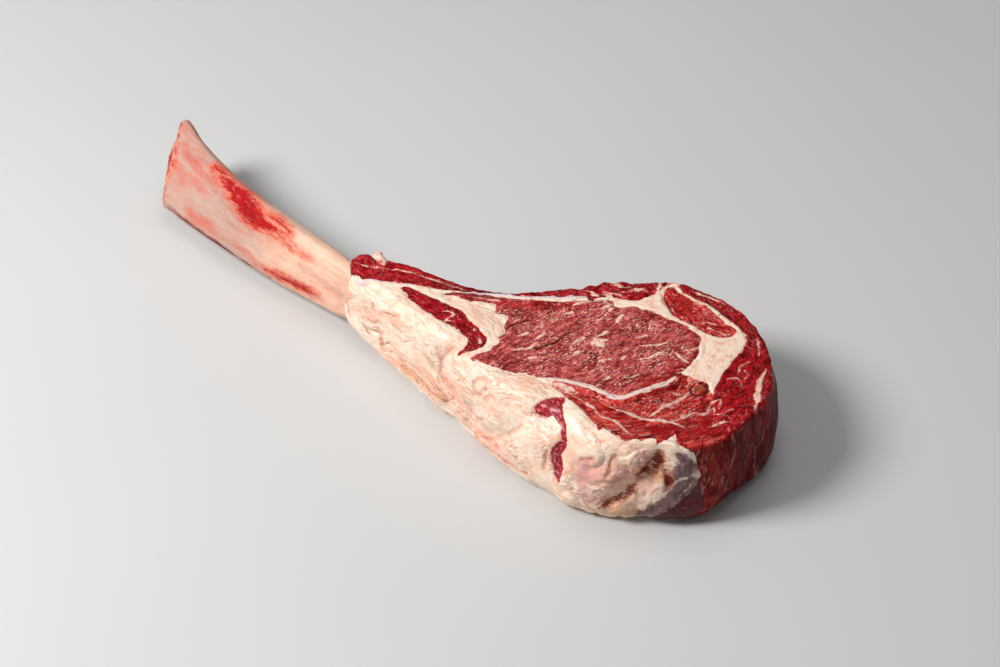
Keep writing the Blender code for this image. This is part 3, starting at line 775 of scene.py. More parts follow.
def steak_rings():
    """Closed rings of points from the foot, up the side to the rim of the cut face."""
    line = even_line(OUTLINE, 0.5, True)
    line = line[np.linspace(0, len(line), POINTS_AROUND, endpoint=False).astype(int)]
    plan, run_in, tuck = line[:, :2], line[:, 2:3], line[:, 3:4]
    along = np.roll(plan, -1, axis=0) - np.roll(plan, 1, axis=0)
    inward = np.column_stack([-along[:, 1], along[:, 0]]) / np.linalg.norm(along, axis=1)[:, None]
    low, top = underside_height(plan[:, :1]), cut_face_height(plan[:, :1])
    rings = []
    for angle in np.linspace(math.pi / 2, 0, FOOT_RINGS + 1)[:-1]:
        height = low + (WIDEST_HEIGHT - low) * (1 - math.sin(angle))
        rings.append(np.hstack([plan + inward * tuck * (1 - math.cos(angle)), height]))
    power = 2 / WALL_SQUARENESS
    for angle in np.linspace(0, math.pi / 2, WALL_RINGS + 1):
        height = WIDEST_HEIGHT + (top - WIDEST_HEIGHT) * math.sin(angle) ** power
        inset = run_in * (1 - max(math.cos(angle), 0) ** power)
        rings.append(np.hstack([plan + inward * inset, height]))
    return rings


def fill_face(build, rim, height_at):
    """Closes a rim of vertices with a sheet of near-equal triangles that follows height_at."""
    edge = np.array([v.co.xy for v in rim])
    low, high = edge.min(axis=0), edge.max(axis=0)
    rows = enumerate(np.arange(low[1], high[1], SHEET_STEP * math.sqrt(0.75)))
    inner = [
        (x + SHEET_STEP / 2 * (i % 2), y) for i, y in rows for x in np.arange(low[0], high[0], SHEET_STEP)
    ]
    inner = [p for p in inner if np.linalg.norm(edge - p, axis=1).min() > SHEET_STEP / 2]
    flat = [Vector(p) for p in [*edge, *inner]]
    inside_border, tolerance = 1, 1e-4
    places, _, triangles, sources, _, _ = delaunay_2d_cdt(
        flat, [], [list(range(len(edge)))], inside_border, tolerance
    )
    corners = []
    for (x, y), source in zip(places, sources):
        on_rim = source and source[0] < len(edge)
        corners.append(rim[source[0]] if on_rim else build.verts.new((x, y, height_at(x))))
    for triangle in triangles:
        build.faces.new([corners[i] for i in triangle])


def plain_flesh():
    """The whole steak without its bone, smooth, as one fine closed mesh."""
    build = bmesh.new()
    rows = add_rings(build, steak_rings())
    fill_face(build, rows[0], underside_height)
    fill_face(build, rows[-1], cut_face_height)
    for scrap in SCRAPS:
        for x, y, z, radius in rows_along(scrap, SCRAP_BALLS):
            at = Matrix.Translation((x, y, z))
            bmesh.ops.create_icosphere(build, subdivisions=3, radius=radius, matrix=at)
    return refined(build, "plain_flesh")


def nearest_piece(places):
    """Which of PIECES each point of the flesh belongs to, by the nearest solid."""
    corners, faces, owners = [], [], []
    for number, name in enumerate(PIECES):
        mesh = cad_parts[name].data
        start = len(corners)
        corners += [v.co[:] for v in mesh.vertices]
        faces += [[start + i for i in face.vertices] for face in mesh.polygons]
        owners += [number] * len(mesh.polygons)
    tree = BVHTree.FromPolygons(corners, faces)
    in_frame = (places + np.array(DRAWING_ZERO)) * MM
    return np.array([owners[tree.find_nearest(p)[2]] for p in in_frame.tolist()])


def seam_lines():
    """Every seam as a fine wavering line on plan, and whether it is closed."""
    lines = {}
    for name, points in [*CLOSED_SEAMS.items(), *OPEN_SEAMS.items()]:
        closed = name in CLOSED_SEAMS
        line = even_line(points, SEAM_STEP, closed)
        lines[name] = (line - stray(line), closed)
    return lines


def distance_to_seams(places, seams):
    tree = KDTree(sum(len(line) for line, _ in seams.values()))
    for line, _ in seams.values():
        for x, y in line:
            tree.insert((x, y, 0), 0)
    tree.balance()
    return np.array([tree.find((x, y, 0))[2] for x, y in on_drawing(places).tolist()])


def slack(places):
    """How far soft flesh stands out from the plain form, as in the solids."""
    lumps = layered(places, [(WIDE_LUMP_RISE, WIDE_LUMP, 0), (CLOSE_LUMP_RISE, CLOSE_LUMP, 0)])
    relief = lumps * (1 - (1 - CUT_FACE_SHARE) * on_cut_face(places))
    for line, width, depth in FOLDS:
        relief -= depth * hump(distance_to_line(places, np.array(line, float)), width)
    return relief


def on_cut_face(places):
    """1 on the upper cut face, fading to 0 down its rim."""
    return eased((places[:, 2] - cut_face_height(places[:, 0])) / CUT_FACE_BAND + 1)


def surface_detail(places, owner, seam_gap):
    """Relief finer than the solids have: fibres in lean, wrinkles and knobs in fat, and marks."""
    relief = np.zeros(len(places))
    level = on_cut_face(places)
    for number, name in enumerate(PIECES):
        here = np.flatnonzero(owner == number)
        grain = grain_of(places[here], name)
        if name in FAT_PIECES:
            relief[here] = layered(grain, FAT_LAYERS) * (1 - 0.55 * level[here])
            if name == "fat_cap":
                relief[here] -= WRINKLE_DEPTH * wrinkles(grain) * (1 - 0.7 * level[here])
                relief[here] -= puff_depth(places[here]) * (1 - puffs(places[here])) * (1 - level[here])
                relief[here] -= pleats(places[here], grain)
        else:
            bundles = (RAGGED.get(name, BUNDLE_RISE), BUNDLE_SIZE, 0)
            relief[here] = layered(grain, [bundles, FIBRE_LAYER])
            relief[here] += SEAM_SWELL * (1 - np.exp(-seam_gap[here] / SEAM_SWELL_REACH))
    relief -= SEAM_GROOVE * level * hump(seam_gap, SEAM_GROOVE_REACH)
    for centre, width, rise in KNOBS:
        relief += rise * round_hump(places, centre, width)
    spots = for_marks(places)
    for kind, (rise, softness) in MARK_RELIEF.items():
        relief += rise * (1 - eased((outside_marks(spots, MARKS[kind]) / softness + 1) / 2))
    return relief


def shaped_flesh(seams):
    """The flesh with its slack, its muscles' own levels and all its fine relief."""
    mesh = plain_flesh()
    places = points_of(mesh)
    soft = eased(places[:, 2] / SOFT_FROM - 0.5)
    places = push_out(mesh, places, slack(places) * soft)
    owner = nearest_piece(places)
    rises = evened_out(np.array([rise for _, rise, _, _ in PIECES.values()])[owner], mesh, 3)
    detail = surface_detail(places, owner, distance_to_seams(places, seams))
    places = push_out(mesh, places, evened_out(detail * soft, mesh, 1))
    places[:, 2] += rises * eased((places[:, 2] - RISE_FROM) / (RISE_FULL - RISE_FROM))
    places[:, 2] = np.maximum(places[:, 2], 0)
    move_points(mesh, places)
    return mesh


def seam_wall(line, closed):
    """A very thin wall along a seam, upright but for the slight lean that muscles have."""
    curve = bpy.data.curves.new("seam", "CURVE")
    curve.dimensions = "2D"
    curve.fill_mode = "NONE"
    curve.extrude = STEAK_THICKNESS
    spline = curve.splines.new("POLY")
    spline.points.add(len(line) - 1)
    for target, (x, y) in zip(spline.points, line):
        target.co = (x, y, 0, 1)
    spline.use_cyclic_u = closed
    drawn = add_object("seam_line", curve)
    mesh = evaluated_mesh(drawn)
    bpy.data.objects.remove(drawn)
    lean = Matrix.Identity(4)
    lean[0][2] = -SEAM_LEAN / STEAK_THICKNESS
    lean[0][3] = SEAM_LEAN
    mesh.transform(lean @ Matrix.Translation(UP * STEAK_THICKNESS / 2))
    wall = add_object("seam_wall", mesh)
    thick = wall.modifiers.new("thickness", "SOLIDIFY")
    thick.thickness = SEAM_GAP
    thick.offset = 0.0
    return wall


def cut_away(target, cutter):
    """Cuts the cutter's form out of the target, and removes the cutter."""
    boolean = target.modifiers.new("cut", "BOOLEAN")
    boolean.operation = "DIFFERENCE"
    boolean.solver = "MANIFOLD"
    boolean.object = cutter
    target.data = evaluated_mesh(target)
    target.modifiers.clear()
    bpy.data.objects.remove(cutter)


def holds(mesh, x, y):
    """True if the mesh has the plan point inside it, half way up the steak."""
    tree = BVHTree.FromPolygons([v.co for v in mesh.vertices], [p.vertices[:] for p in mesh.polygons])
    place, normal, _, _ = tree.ray_cast(Vector((x, y, STEAK_THICKNESS / 2)), UP)
    return place is not None and normal.z > 0


def parted_flesh(seams):
    """The pieces of the steak by name, parted along their seams."""
    body = add_object("flesh", shaped_flesh(seams))
    cut_away(body, add_object("rib_socket", rib_form(SEAM_GAP, SOCKET_FROM_X)))
    for line, closed in seams.values():
        cut_away(body, seam_wall(line, closed))
    for other in bpy.context.selected_objects:
        other.select_set(False)
    body.select_set(True)
    bpy.context.view_layer.objects.active = body
    bpy.ops.mesh.separate(type="LOOSE")
    pieces = {}
    for piece in bpy.context.selected_objects:
        big = len(piece.data.vertices) > SMALLEST_PIECE
        found = [name for name, (at, *_) in PIECES.items() if big and holds(piece.data, *at)]
        if found:
            pieces[found[0]] = piece
        else:
            bpy.data.objects.remove(piece)
    return pieces


# ---------------------------------------------------------------- the rib


def rib_rings(clearance, from_x):
    """Rounded sections along the rib, from from_x into the meat."""
    line = rows_along(RIB, RIB_SECTIONS)
    ahead = np.gradient(line[:, :2], axis=0)
    ahead /= np.linalg.norm(ahead, axis=1)[:, None]
    turn = np.linspace(0, 2 * math.pi, RIB_SECTION_POINTS, endpoint=False)
    power = 2 / RIB_SQUARENESS
    across = np.sign(np.cos(turn)) * np.abs(np.cos(turn)) ** power / 2
    upward = np.sign(np.sin(turn)) * np.abs(np.sin(turn)) ** power / 2
    rings = []
    for (x, y, z, width, thickness, lean), (dx, dy) in zip(line, ahead):
        if x < from_x:
            continue
        tilt = math.radians(lean)
        side = Vector((-dy, dx, 0))
        face = UP * math.cos(tilt) + side * math.sin(tilt)
        through = side * math.cos(tilt) - UP * math.sin(tilt)
        face *= width + 2 * clearance
        through *= thickness + 2 * clearance
        rings.append([Vector((x, y, z)) + through * a + face * u for a, u in zip(across, upward)])
    return rings


def rib_form(clearance, from_x):
    """The rib as one closed form, or with a clearance the form of its socket."""
    build = bmesh.new()
    rows = add_rings(build, rib_rings(clearance, from_x))
    build.faces.new(rows[0])
    build.faces.new(rows[-1])
    return mesh_from(build, "rib")


def rib_bone():
    """The scraped rib, sawn off askew, with the dents and scrape marks of a knife."""
    build = bmesh.new()
    build.from_mesh(rib_form(0.0, RIB[0][0]))
    cut = bmesh.ops.bisect_plane(
        build,
        geom=build.verts[:] + build.edges[:] + build.faces[:],
        plane_co=Vector(SAW_CUT_POINT),
        plane_no=Vector(SAW_CUT_NORMAL),
        clear_outer=True,
    )
    rim = [part for part in cut["geom_cut"] if isinstance(part, bmesh.types.BMEdge)]
    bmesh.ops.holes_fill(build, edges=rim, sides=0)
    mesh = refined(build, "rib")
    places = points_of(mesh)
    across, along = along_and_across(places[:, :2], [(x, y) for x, y, *_ in RIB])
    grain = np.column_stack([across, along, places[:, 2]])
    from_saw = -(places - SAW_CUT_POINT) @ np.array(SAW_CUT_NORMAL)
    rough = SAW_ROUGHNESS * np.exp(-from_saw / SAW_ROUGHNESS_REACH)
    relief = layered(grain, RIB_LAYERS) + rough * noise_at(places / SAW_ROUGHNESS_SIZE)
    places = push_out(mesh, places, relief)
    bulge = SAW_CUT_BULGE * hump(places[:, 2] - SAW_CUT_BULGE_Z, SAW_CUT_BULGE_REACH)
    places += (bulge * np.exp(-from_saw / SAW_CUT_BULGE_DEPTH))[:, None] * np.array(SAW_CUT_NORMAL)
    move_points(mesh, places)
    attribute_to(mesh, "grain", grain)
    attribute_to(mesh, "sawn", from_saw)
    return add_object("raw_rib_bone", mesh)


# ---------------------------------------------------------------- finishes


class Value:
    """A socket that changes over a surface. Sums on it add the maths nodes."""

    def __init__(self, finish, socket):
        self.finish, self.socket = finish, socket

    def __add__(self, other):
        return self.finish.maths("ADD", self, other)

    def __sub__(self, other):
        return self.finish.maths("SUBTRACT", self, other)

    def __rsub__(self, other):
        return self.finish.maths("SUBTRACT", other, self)

    def __mul__(self, other):
        return self.finish.maths("MULTIPLY", self, other)

    __radd__, __rmul__ = __add__, __mul__


class Finish:
    """A material in the making, with the nodes that the finishes of this steak are made of."""

    def __init__(self, name):
        self.material = bpy.data.materials.new(name)
        self.material.use_nodes = True
        self.tree = self.material.node_tree
        self.shader = self.tree.nodes["Principled BSDF"]
        metres = self.node("ShaderNodeTexCoord", {}, {}, "Object")
        self.place = self.vector("MULTIPLY", metres, (1 / MM,) * 3)
        self.colour = None

    def join(self, node, sockets):
        """Links a node's sockets to what varies, and sets the others."""
        for key, value in sockets.items():
            if isinstance(value, Value):
                self.tree.links.new(value.socket, node.inputs[key])
            else:
                node.inputs[key].default_value = value

    def node(self, kind, settings, sockets, out=0):
        made = self.tree.nodes.new(kind)
        for name, value in settings.items():
            setattr(made, name, value)
        self.join(made, sockets)
        return Value(self, made.outputs[out])

    def maths(self, operation, *values):
        return self.node("ShaderNodeMath", {"operation": operation}, dict(enumerate(values)))

    def vector(self, operation, *values):
        return self.node("ShaderNodeVectorMath", {"operation": operation}, dict(enumerate(values)))

    def axis(self, at, letter):
        return self.node("ShaderNodeSeparateXYZ", {}, {0: at}, letter)

    def attribute(self, name, out="Fac"):
        return self.node("ShaderNodeAttribute", {"attribute_name": name}, {}, out)

    def scaled(self, at, size, shift=0.0):
        """Places in lumps of a size, or of three sizes, given in millimetres."""
        sizes = size if isinstance(size, tuple) else (size,) * 3
        return self.vector("MULTIPLY_ADD", at or self.place, tuple(1 / s for s in sizes), (shift,) * 3)

    def lumps(self, size, at=None, detail=2.0, shift=0.0, out="Fac"):
        """Noise from 0 to 1, about 0.5."""
        sockets = {"Vector": self.scaled(at, size, shift), "Scale": 1.0, "Detail": detail}
        return self.node("ShaderNodeTexNoise", {}, sockets, out)

    def cells(self, size, at=None):
        """How far each point is from the edge of its cell, in cells."""
        sockets = {"Vector": self.scaled(at, size), "Scale": 1.0}
        return self.node("ShaderNodeTexVoronoi", {"feature": "DISTANCE_TO_EDGE"}, sockets, "Distance")

    def cell_tones(self, size, at=None):
        """A random tone from 0 to 1 for each cell."""
        sockets = {"Vector": self.scaled(at, size), "Scale": 1.0}
        return self.node("ShaderNodeTexVoronoi", {}, sockets, "Color")

    def wandering(self, at, size, far):
        """Places moved at random by up to about half of far, so that what is drawn there bends."""
        push = self.vector("SUBTRACT", self.lumps(size, at, 2.0, 33, "Color"), (0.5,) * 3)
        return self.vector("MULTIPLY_ADD", push, (far,) * 3, at)

    def lines(self, noise_value, width):
        """1 along the middle level of a noise, which makes thin winding lines."""
        return self.between(self.maths("ABSOLUTE", noise_value - 0.5), width, width / 4)

    def between(self, value, low, high):
        """0 at low, 1 at high, and smooth between. Low may be the greater."""
        return self.node(
            "ShaderNodeMapRange",
            {"interpolation_type": "SMOOTHSTEP"},
            {"Value": value, "From Min": low, "From Max": high},
            "Result",
        )

    def mix(self, first, second, share):
        colours = [c if isinstance(c, Value) else paint(*c) for c in (first, second)]
        sockets = {0: share, 6: colours[0], 7: colours[1]}
        return self.node("ShaderNodeMix", {"data_type": "RGBA"}, sockets, 2)

    def lay(self, colour, share):
        """Puts a colour over what is there so far."""
        self.colour = self.mix(self.colour, colour, share)

    def near(self, mark, noise_value, waver, outer, inner):
        """From 0 at outer to 1 at inner, in millimetres outside a mark's edge, which wavers."""
        return self.between(self.attribute(mark) + (noise_value - 0.5) * waver, outer, inner)

    def inside(self, mark, waver, softness=0.3):
        """1 inside a kind of mark, with an edge that wavers by that many millimetres."""
        return self.near(mark, self.lumps(1.3, detail=3.0), waver, softness, -softness)

    def finished(self, roughness, height, height_mm, coat=0.0, coat_roughness=0.1, glow=0.0,
                 depth=(1, 1, 1), specular=0.5):
        """Puts the finish together. The coat's roughness and what follows it don't vary."""
        relief = {"Height": height, "Strength": 1.0, "Distance": height_mm * MM}
        self.join(self.shader, {
            "Base Color": self.colour,
            "Roughness": roughness,
            "Coat Weight": coat,
            "Normal": self.node("ShaderNodeBump", {}, relief),
            "Coat Roughness": coat_roughness,
            "Subsurface Weight": glow,
            "Subsurface Radius": depth,
            "Subsurface Scale": MM,
            "Specular IOR Level": specular,
        })
        return self.material


def paint(red, green, blue):
    """A colour as it is seen, of 0 to 255, in the shader's own scale and solid."""
    seen = [c / 255 for c in (red, green, blue)]
    return (*((c / 12.92) if c <= 0.04 else ((c + 0.055) / 1.055) ** 2.4 for c in seen), 1.0)


PALE_FAT = (244, 208, 190)
SKIN_WHITE = (212, 192, 200)
LEAN_GLOW = (1.6, 0.4, 0.3)
FAT_GLOW = (2.6, 1.5, 1.0)


def lean(name, deep, plain, bright, flecked, netted):
    """Wet lean meat: bundles of fibre, cut across, with fat between and through them.

    flecked is how much fine fat it has, and netted how much of it runs between the bundles.
    """
    f = Finish(name)
    grain = f.wandering(f.attribute("grain", "Vector"), (6, 6, 20), 4.0)
    broad = f.lumps((9, 14, 30), grain, 3.0)
    bundles = f.cell_tones((1.5, 3.3, 12), grain)
    patches = f.lumps((2.4, 5.2, 12), grain, 3.0, 11)
    fibres = f.lumps((0.6, 1.7, 8), grain, 2.0, 23)
    tone = broad * 0.55 + bundles * 0.3 + patches * 0.6 + fibres * 0.95
    f.colour = f.mix(deep, plain, f.between(tone, 0.98, 1.22))
    f.lay(bright, f.between(tone, 1.24, 1.5) * 0.7)
    red = f.near("red", patches, 12, 3.0, -3.0)
    crimson = f.mix((96, 0, 4), (180, 16, 24), f.between(tone, 0.95, 1.3))
    f.lay(crimson, red * 0.8)
    split = f.between(f.cells((1.5, 3.3, 12), grain), 0.12, 0.03)
    f.lay(deep, split * f.between(patches, 0.62, 0.42) * 0.9)
    marbled = f.between(f.lumps(16, detail=3.0, shift=5), 0.4, 0.56)
    fatness = (1 - red * 0.6) * flecked
    dash = f.between(f.lumps((0.6, 2.2, 8), grain, 2.0, 57), 0.6, 0.64)
    f.lay(PALE_FAT, dash * (0.25 + marbled * 0.6) * fatness)
    fleck = f.between(f.lumps((1.0, 4.2, 12), grain, 3.0, 41), 0.65, 0.68)
    f.lay(PALE_FAT, fleck * marbled * 0.85 * fatness)
    net = f.between(f.cells((7, 11, 24), f.wandering(grain, 3, 4.0)), 0.032, 0.01)
    f.lay(PALE_FAT, net * f.between(f.lumps(9, shift=2), 0.5, 0.6) * 0.5 * netted)
    fringe = f.near("seam_gap", f.lumps(4.5, detail=3.0), 5, 0.1, -0.3)
    f.lay(PALE_FAT, fringe * 0.7)
    swelling = (f.lumps(4.0, shift=8) - 0.5) * 2.4
    vein_gap = f.attribute("vein") + swelling + (f.lumps(0.9, detail=3.0) - 0.5) * 1.6
    vein = f.between(vein_gap, 0.05, -0.4)
    f.lay((222, 130, 118), f.between(vein_gap, 0.6, -0.1) * 0.6)
    f.lay(PALE_FAT, vein * (0.5 + f.between(f.lumps(2.0, shift=14), 0.35, 0.55) * 0.45))
    skin = f.inside("skin", 1.0)
    f.lay(SKIN_WHITE, skin * 0.85)
    tan = f.inside("tan", 1.4, 0.8)
    f.lay((158, 78, 44), tan * 0.85)
    # Painted shade: dark in the cracks, along the corner muscle's sunken edge and round the pit
    crack = f.inside("crack", 1.0)
    f.lay((60, 4, 6), crack * 0.8)
    # Painted shade: the sides below the cut face's rim are darkened towards deep red
    f.lay((66, 0, 6), f.attribute("side") * 0.6)
    height = fibres * 0.4 + patches * 0.3 + vein * 0.3 - split * 0.25
    roughness = 0.55 - f.between(patches, 0.3, 0.7) * 0.15
    return f.finished(roughness, height, 0.55, 0.12, 0.14, 0.08, LEAN_GLOW, 0.05)


def outer_fat():
    """Cream fat with wrinkles, creases, a streak of lean and the torn skins on its round end."""
    f = Finish("outer_fat")
    grain = f.attribute("grain", "Vector")
    drawn = f.wandering(grain, 14, 8.0)
    wide, close = f.lumps((13, 34, 13), drawn, 3.0), f.lumps((3.4, 11, 3.4), drawn, 3.0, 9)
    spots = f.lumps(4.5, detail=3.0, shift=9)
    strands = f.lumps((0.9, 15, 0.9), f.wandering(grain, 12, 5.0), 3.0, 17)
    tone = wide + (close - 0.5) * 0.7
    f.colour = f.mix((244, 220, 198), (240, 190, 162), f.between(tone, 0.42, 0.72))
    f.lay((248, 232, 216), f.between(strands, 0.5, 0.66) * 0.5)
    f.lay((222, 168, 128), f.between(strands, 0.42, 0.3) * 0.45)
    f.lay((232, 158, 134), f.between(close, 0.6, 0.74) * 0.4)
    blush = f.near("blush", close, 16, 4, -5)
    f.lay((236, 158, 146), blush * 0.6)
    tan = f.near("tan", close, 6, 2.5, -2.0)
    f.lay((200, 150, 102), tan * (0.35 + f.between(strands, 0.42, 0.58) * 0.5))
    # Darker in the pleats' grooves: painted shade
    f.lay((158, 108, 78), f.between(f.attribute("pleat"), 0.25, 0.85) * 0.7)
    # Painted shade in the creases between the puffs of fat
    between_puffs = f.between(f.attribute("puff"), 0.4, 0.0)
    f.lay((206, 134, 104), between_puffs * 0.22)
    # Painted shade in the fine wrinkles
    wrinkle = f.attribute("wrinkle")
    f.lay((196, 134, 100), wrinkle * 0.5)
    hairline = f.lines(f.lumps(8, f.wandering(f.place, 4, 3.0), 3.0, 12), 0.008)
    here = f.between(f.lumps(15, shift=21), 0.5, 0.62)
    f.lay((190, 92, 66), hairline * here * 0.6)
    # Around and in the creases: a soft orange-brown halo that is painted shade, and a darker line that is
    # partly the creases' own colour and partly painted shade
    f.lay((224, 144, 112), f.near("crease", close, 4, 2.4, 0.0) * 0.6)
    crease = f.inside("crease", 0.9)
    f.lay((176, 98, 72), crease * 0.7)
    torn = f.near("membrane", f.lumps(5, detail=4.0, shift=2), 9, 1.0, -1.0)
    rings = f.maths("SINE", (f.attribute("membrane") + spots * 3) * 4.0)
    low = f.between(f.axis(f.place, "Z"), 34.0, 28.0)
    film = f.mix((142, 102, 106), (78, 30, 38), f.between(rings, -0.5, 1.0) * low * 0.7)
    film = f.mix(film, (72, 22, 34), f.between(f.lumps(6, detail=3.0, shift=6), 0.46, 0.62) * 0.8)
    f.lay(film, torn * 0.92)
    lilac_skin = f.near("lilac", spots, 9, 2.0, -2.0)
    f.lay((214, 148, 150), lilac_skin * 0.65)
    skin = f.inside("skin", 1.2)
    f.lay(SKIN_WHITE, skin * 0.85)
    hollow_gap = f.attribute("hollow") + (f.lumps(6, detail=2.0, shift=9) - 0.5) * 9 + (strands - 0.5) * 6
    hollow = f.between(hollow_gap, 4.2, -2.4)
    depths = f.mix((204, 128, 92), (112, 12, 16), f.between(hollow, 0.35, 0.9))
    f.lay(depths, f.between(hollow, 0.0, 0.7) * 0.97)
    streak = f.inside("streak", 1.3, 0.5)
    meat = f.lumps((1.2, 2.6, 2), grain, 4.0, 5)
    red = f.mix((140, 4, 20), (200, 44, 58), f.between(meat, 0.42, 0.66))
    lilac = f.between(f.lumps(9, shift=4) * 0.5 + meat * 0.8, 0.66, 0.76)
    lilac = lilac * f.between(f.attribute("streak"), -0.6, -1.6)
    f.lay(f.mix(red, (196, 132, 146), lilac * 0.7), streak)
    # Dark meat colour: meat where it shows, and on the round end's lower right wall painted shade
    meat_in_painted_shade = f.near("meat", spots, 6, 0.5, -0.4)
    f.lay(f.mix((64, 0, 6), (120, 10, 20), f.between(meat, 0.4, 0.66)), meat_in_painted_shade)
    vein = f.inside("vein", 1.0)
    f.lay(PALE_FAT, vein * 0.6)
    lean_side = f.near("seam_gap", f.lumps(3.5, detail=3.0, shift=3), 5, 0.1, -0.3)
    f.lay((190, 84, 76), lean_side * 0.6)
    height = close * 0.6 + strands * 0.3 - wrinkle * 0.4 - crease * 0.6 + f.lumps(0.9, detail=3.0) * 0.2
    roughness = 0.5 - f.between(wide, 0.4, 0.7) * 0.14 + hollow * 0.3
    return f.finished(roughness, height, 0.9, 0.25 - hollow * 0.25, 0.2, 0.2, FAT_GLOW, 0.25)


def seam_fat():
    """The smooth cream kernel of fat and its arms between the muscles."""
    f = Finish("seam_fat")
    grain = f.attribute("grain", "Vector")
    close = f.lumps(3.6, detail=3.0)
    strands = f.lumps((0.8, 6, 3), f.wandering(grain, 6, 3.0), 2.0, 17)
    f.colour = f.mix((248, 220, 198), (238, 186, 158), f.between(close, 0.44, 0.68))
    f.lay((206, 138, 108), f.between(strands, 0.6, 0.72) * 0.5)
    lean_side = f.near("seam_gap", f.lumps(3.5, detail=3.0, shift=3), 6, 0.2, -0.2)
    f.lay((178, 52, 50), lean_side * 0.7)
    meat = f.near("meat", close, 5, 0.5, -0.4)
    red = f.mix((112, 2, 12), (196, 70, 66), f.between(f.lumps((1.2, 2.4, 4), grain, 3.0, 5), 0.4, 0.64))
    f.lay(red, meat)
    height = close * 0.5 + strands * 0.5
    return f.finished(0.5 - close * 0.1, height, 0.7, 0.25, 0.2, 0.25, FAT_GLOW)


def silverskin():
    """The bluish white membrane between the eye and the cap."""
    f = Finish("silverskin")
    grain = f.attribute("grain", "Vector")
    strands = f.lumps((0.6, 5, 2), grain, 3.0)
    f.colour = f.mix((232, 212, 208), (186, 138, 142), f.between(strands, 0.42, 0.62))
    f.lay(PALE_FAT, f.between(f.lumps(5), 0.4, 0.54) * 0.9)
    lean_side = f.near("seam_gap", f.lumps(3.5, detail=3.0, shift=3), 4, 0.1, -0.2)
    f.lay((160, 70, 74), lean_side * 0.6)
    return f.finished(0.4 - strands * 0.08, strands, 0.5, 0.35, 0.12, 0.15, FAT_GLOW)


def bone():
    """Scraped rib: cream bone with its pink skin, blood stains and a raw sawn end."""
    f = Finish("bone")
    grain = f.attribute("grain", "Vector")
    wide, close = f.lumps((8, 30, 8), grain, 3.0), f.lumps((2.4, 9, 2.4), grain, 3.0, 7)
    scrapes = f.lumps((0.5, 9, 0.5), grain, 2.0, 19)
    f.colour = f.mix((192, 156, 140), (200, 116, 98), f.between(wide, 0.42, 0.68))
    f.lay((178, 140, 138), f.between(close, 0.5, 0.7) * 0.5)
    # Paler towards the meat: partly the bone's own pale peach there, partly painted light where that part
    # of the face stands in shade
    pale_and_painted_light_near_meat = f.between(f.axis(grain, "Y"), 90.0, 140.0)
    f.lay((246, 197, 169), pale_and_painted_light_near_meat * (0.55 + f.between(close, 0.7, 0.4) * 0.4))
    nicks = f.lumps((1.1, 3.2, 1.1), grain, 4.0, 27)
    blush = f.between(f.attribute("blush") + (close - 0.5) * 12 + (nicks - 0.5) * 9, 3.5, -3.5)
    f.lay((176, 74, 60), blush * 0.4)
    # On the rib the tan mark is its rounded upper edge, painted shade there
    tan = f.near("tan", close, 4, 2.0, -1.5)
    f.lay((204, 166, 144), tan * 0.8)
    blood_gap = f.attribute("blood") + (close - 0.5) * 8 + (nicks - 0.5) * 6 + (scrapes - 0.5) * 2
    f.lay((212, 74, 46), f.between(blood_gap, 7.0, 1.4) * 0.72)
    clot = f.mix((170, 0, 10), (112, 0, 8), f.between(close, 0.5, 0.64) * 0.7)
    f.lay(clot, f.between(blood_gap, 2.8, -0.6) * 0.97)
    # Dark red of dried blood, and painted shade along the lower edge
    bruise_and_shade = f.near("bruise_and_shade", close, 4, 1.6, -1.0)
    f.lay((104, 4, 22), bruise_and_shade * 0.9)
    f.lay((236, 204, 188), f.between(scrapes, 0.6, 0.75) * 0.3)
    end = f.between(f.attribute("sawn") + (f.lumps(5.0, detail=3.0) - 0.5) * 5, 1.8, -0.4)
    marrow = f.mix((160, 24, 20), (206, 140, 116), f.between(f.lumps(9.0, detail=2.0), 0.38, 0.56))
    f.lay(marrow, end)
    height = close * 0.4 + scrapes * 0.4 + wide * 0.5
    return f.finished(0.56 - close * 0.12, height, 0.6, 0.04, 0.2, 0.1, FAT_GLOW, 0.1)


# Each lean's deep, plain and bright colours, and how flecked and how netted it is
LEANS = {
    "eye_lean": ((112, 26, 30), (184, 70, 66), (238, 148, 134), 1.0, 0.2),
    "cap_lean": ((126, 6, 6), (204, 48, 40), (246, 130, 110), 0.7, 0.4),
    "outer_lean": ((92, 0, 6), (164, 6, 18), (210, 52, 62), 0.25, 0.25),
}


def finishes():
    made = {name: lean(name, *look) for name, look in LEANS.items()}
    for maker in (outer_fat, seam_fat, silverskin, bone):
        made[maker.__name__] = maker()
    return made


# ---------------------------------------------------------------- putting it together


def to_metres(mesh):
    """From millimetres on the drawing to metres in the part's own frame."""
    mesh.transform(Matrix.Scale(MM, 4) @ Matrix.Translation(DRAWING_ZERO))


def dress(piece, node, finish):
    """Finishes a piece that stands for a solid."""
    piece.name = piece.data.name = "raw_" + node
    to_metres(piece.data)
    piece.data.shade_smooth()
    piece.data.set_sharp_from_angle(angle=SHARP_ANGLE)
    piece.data.materials.clear()
    piece.data.materials.append(finish)
    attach(piece, "root")
    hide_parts(node)


def mark(mesh, places, slot):
    """Stores how far each point is outside the marks that the finish draws."""
    spots = for_marks(places)
    for kind in FINISH_MARKS[slot]:
        attribute_to(mesh, kind, outside_marks(spots, MARKS[kind]))


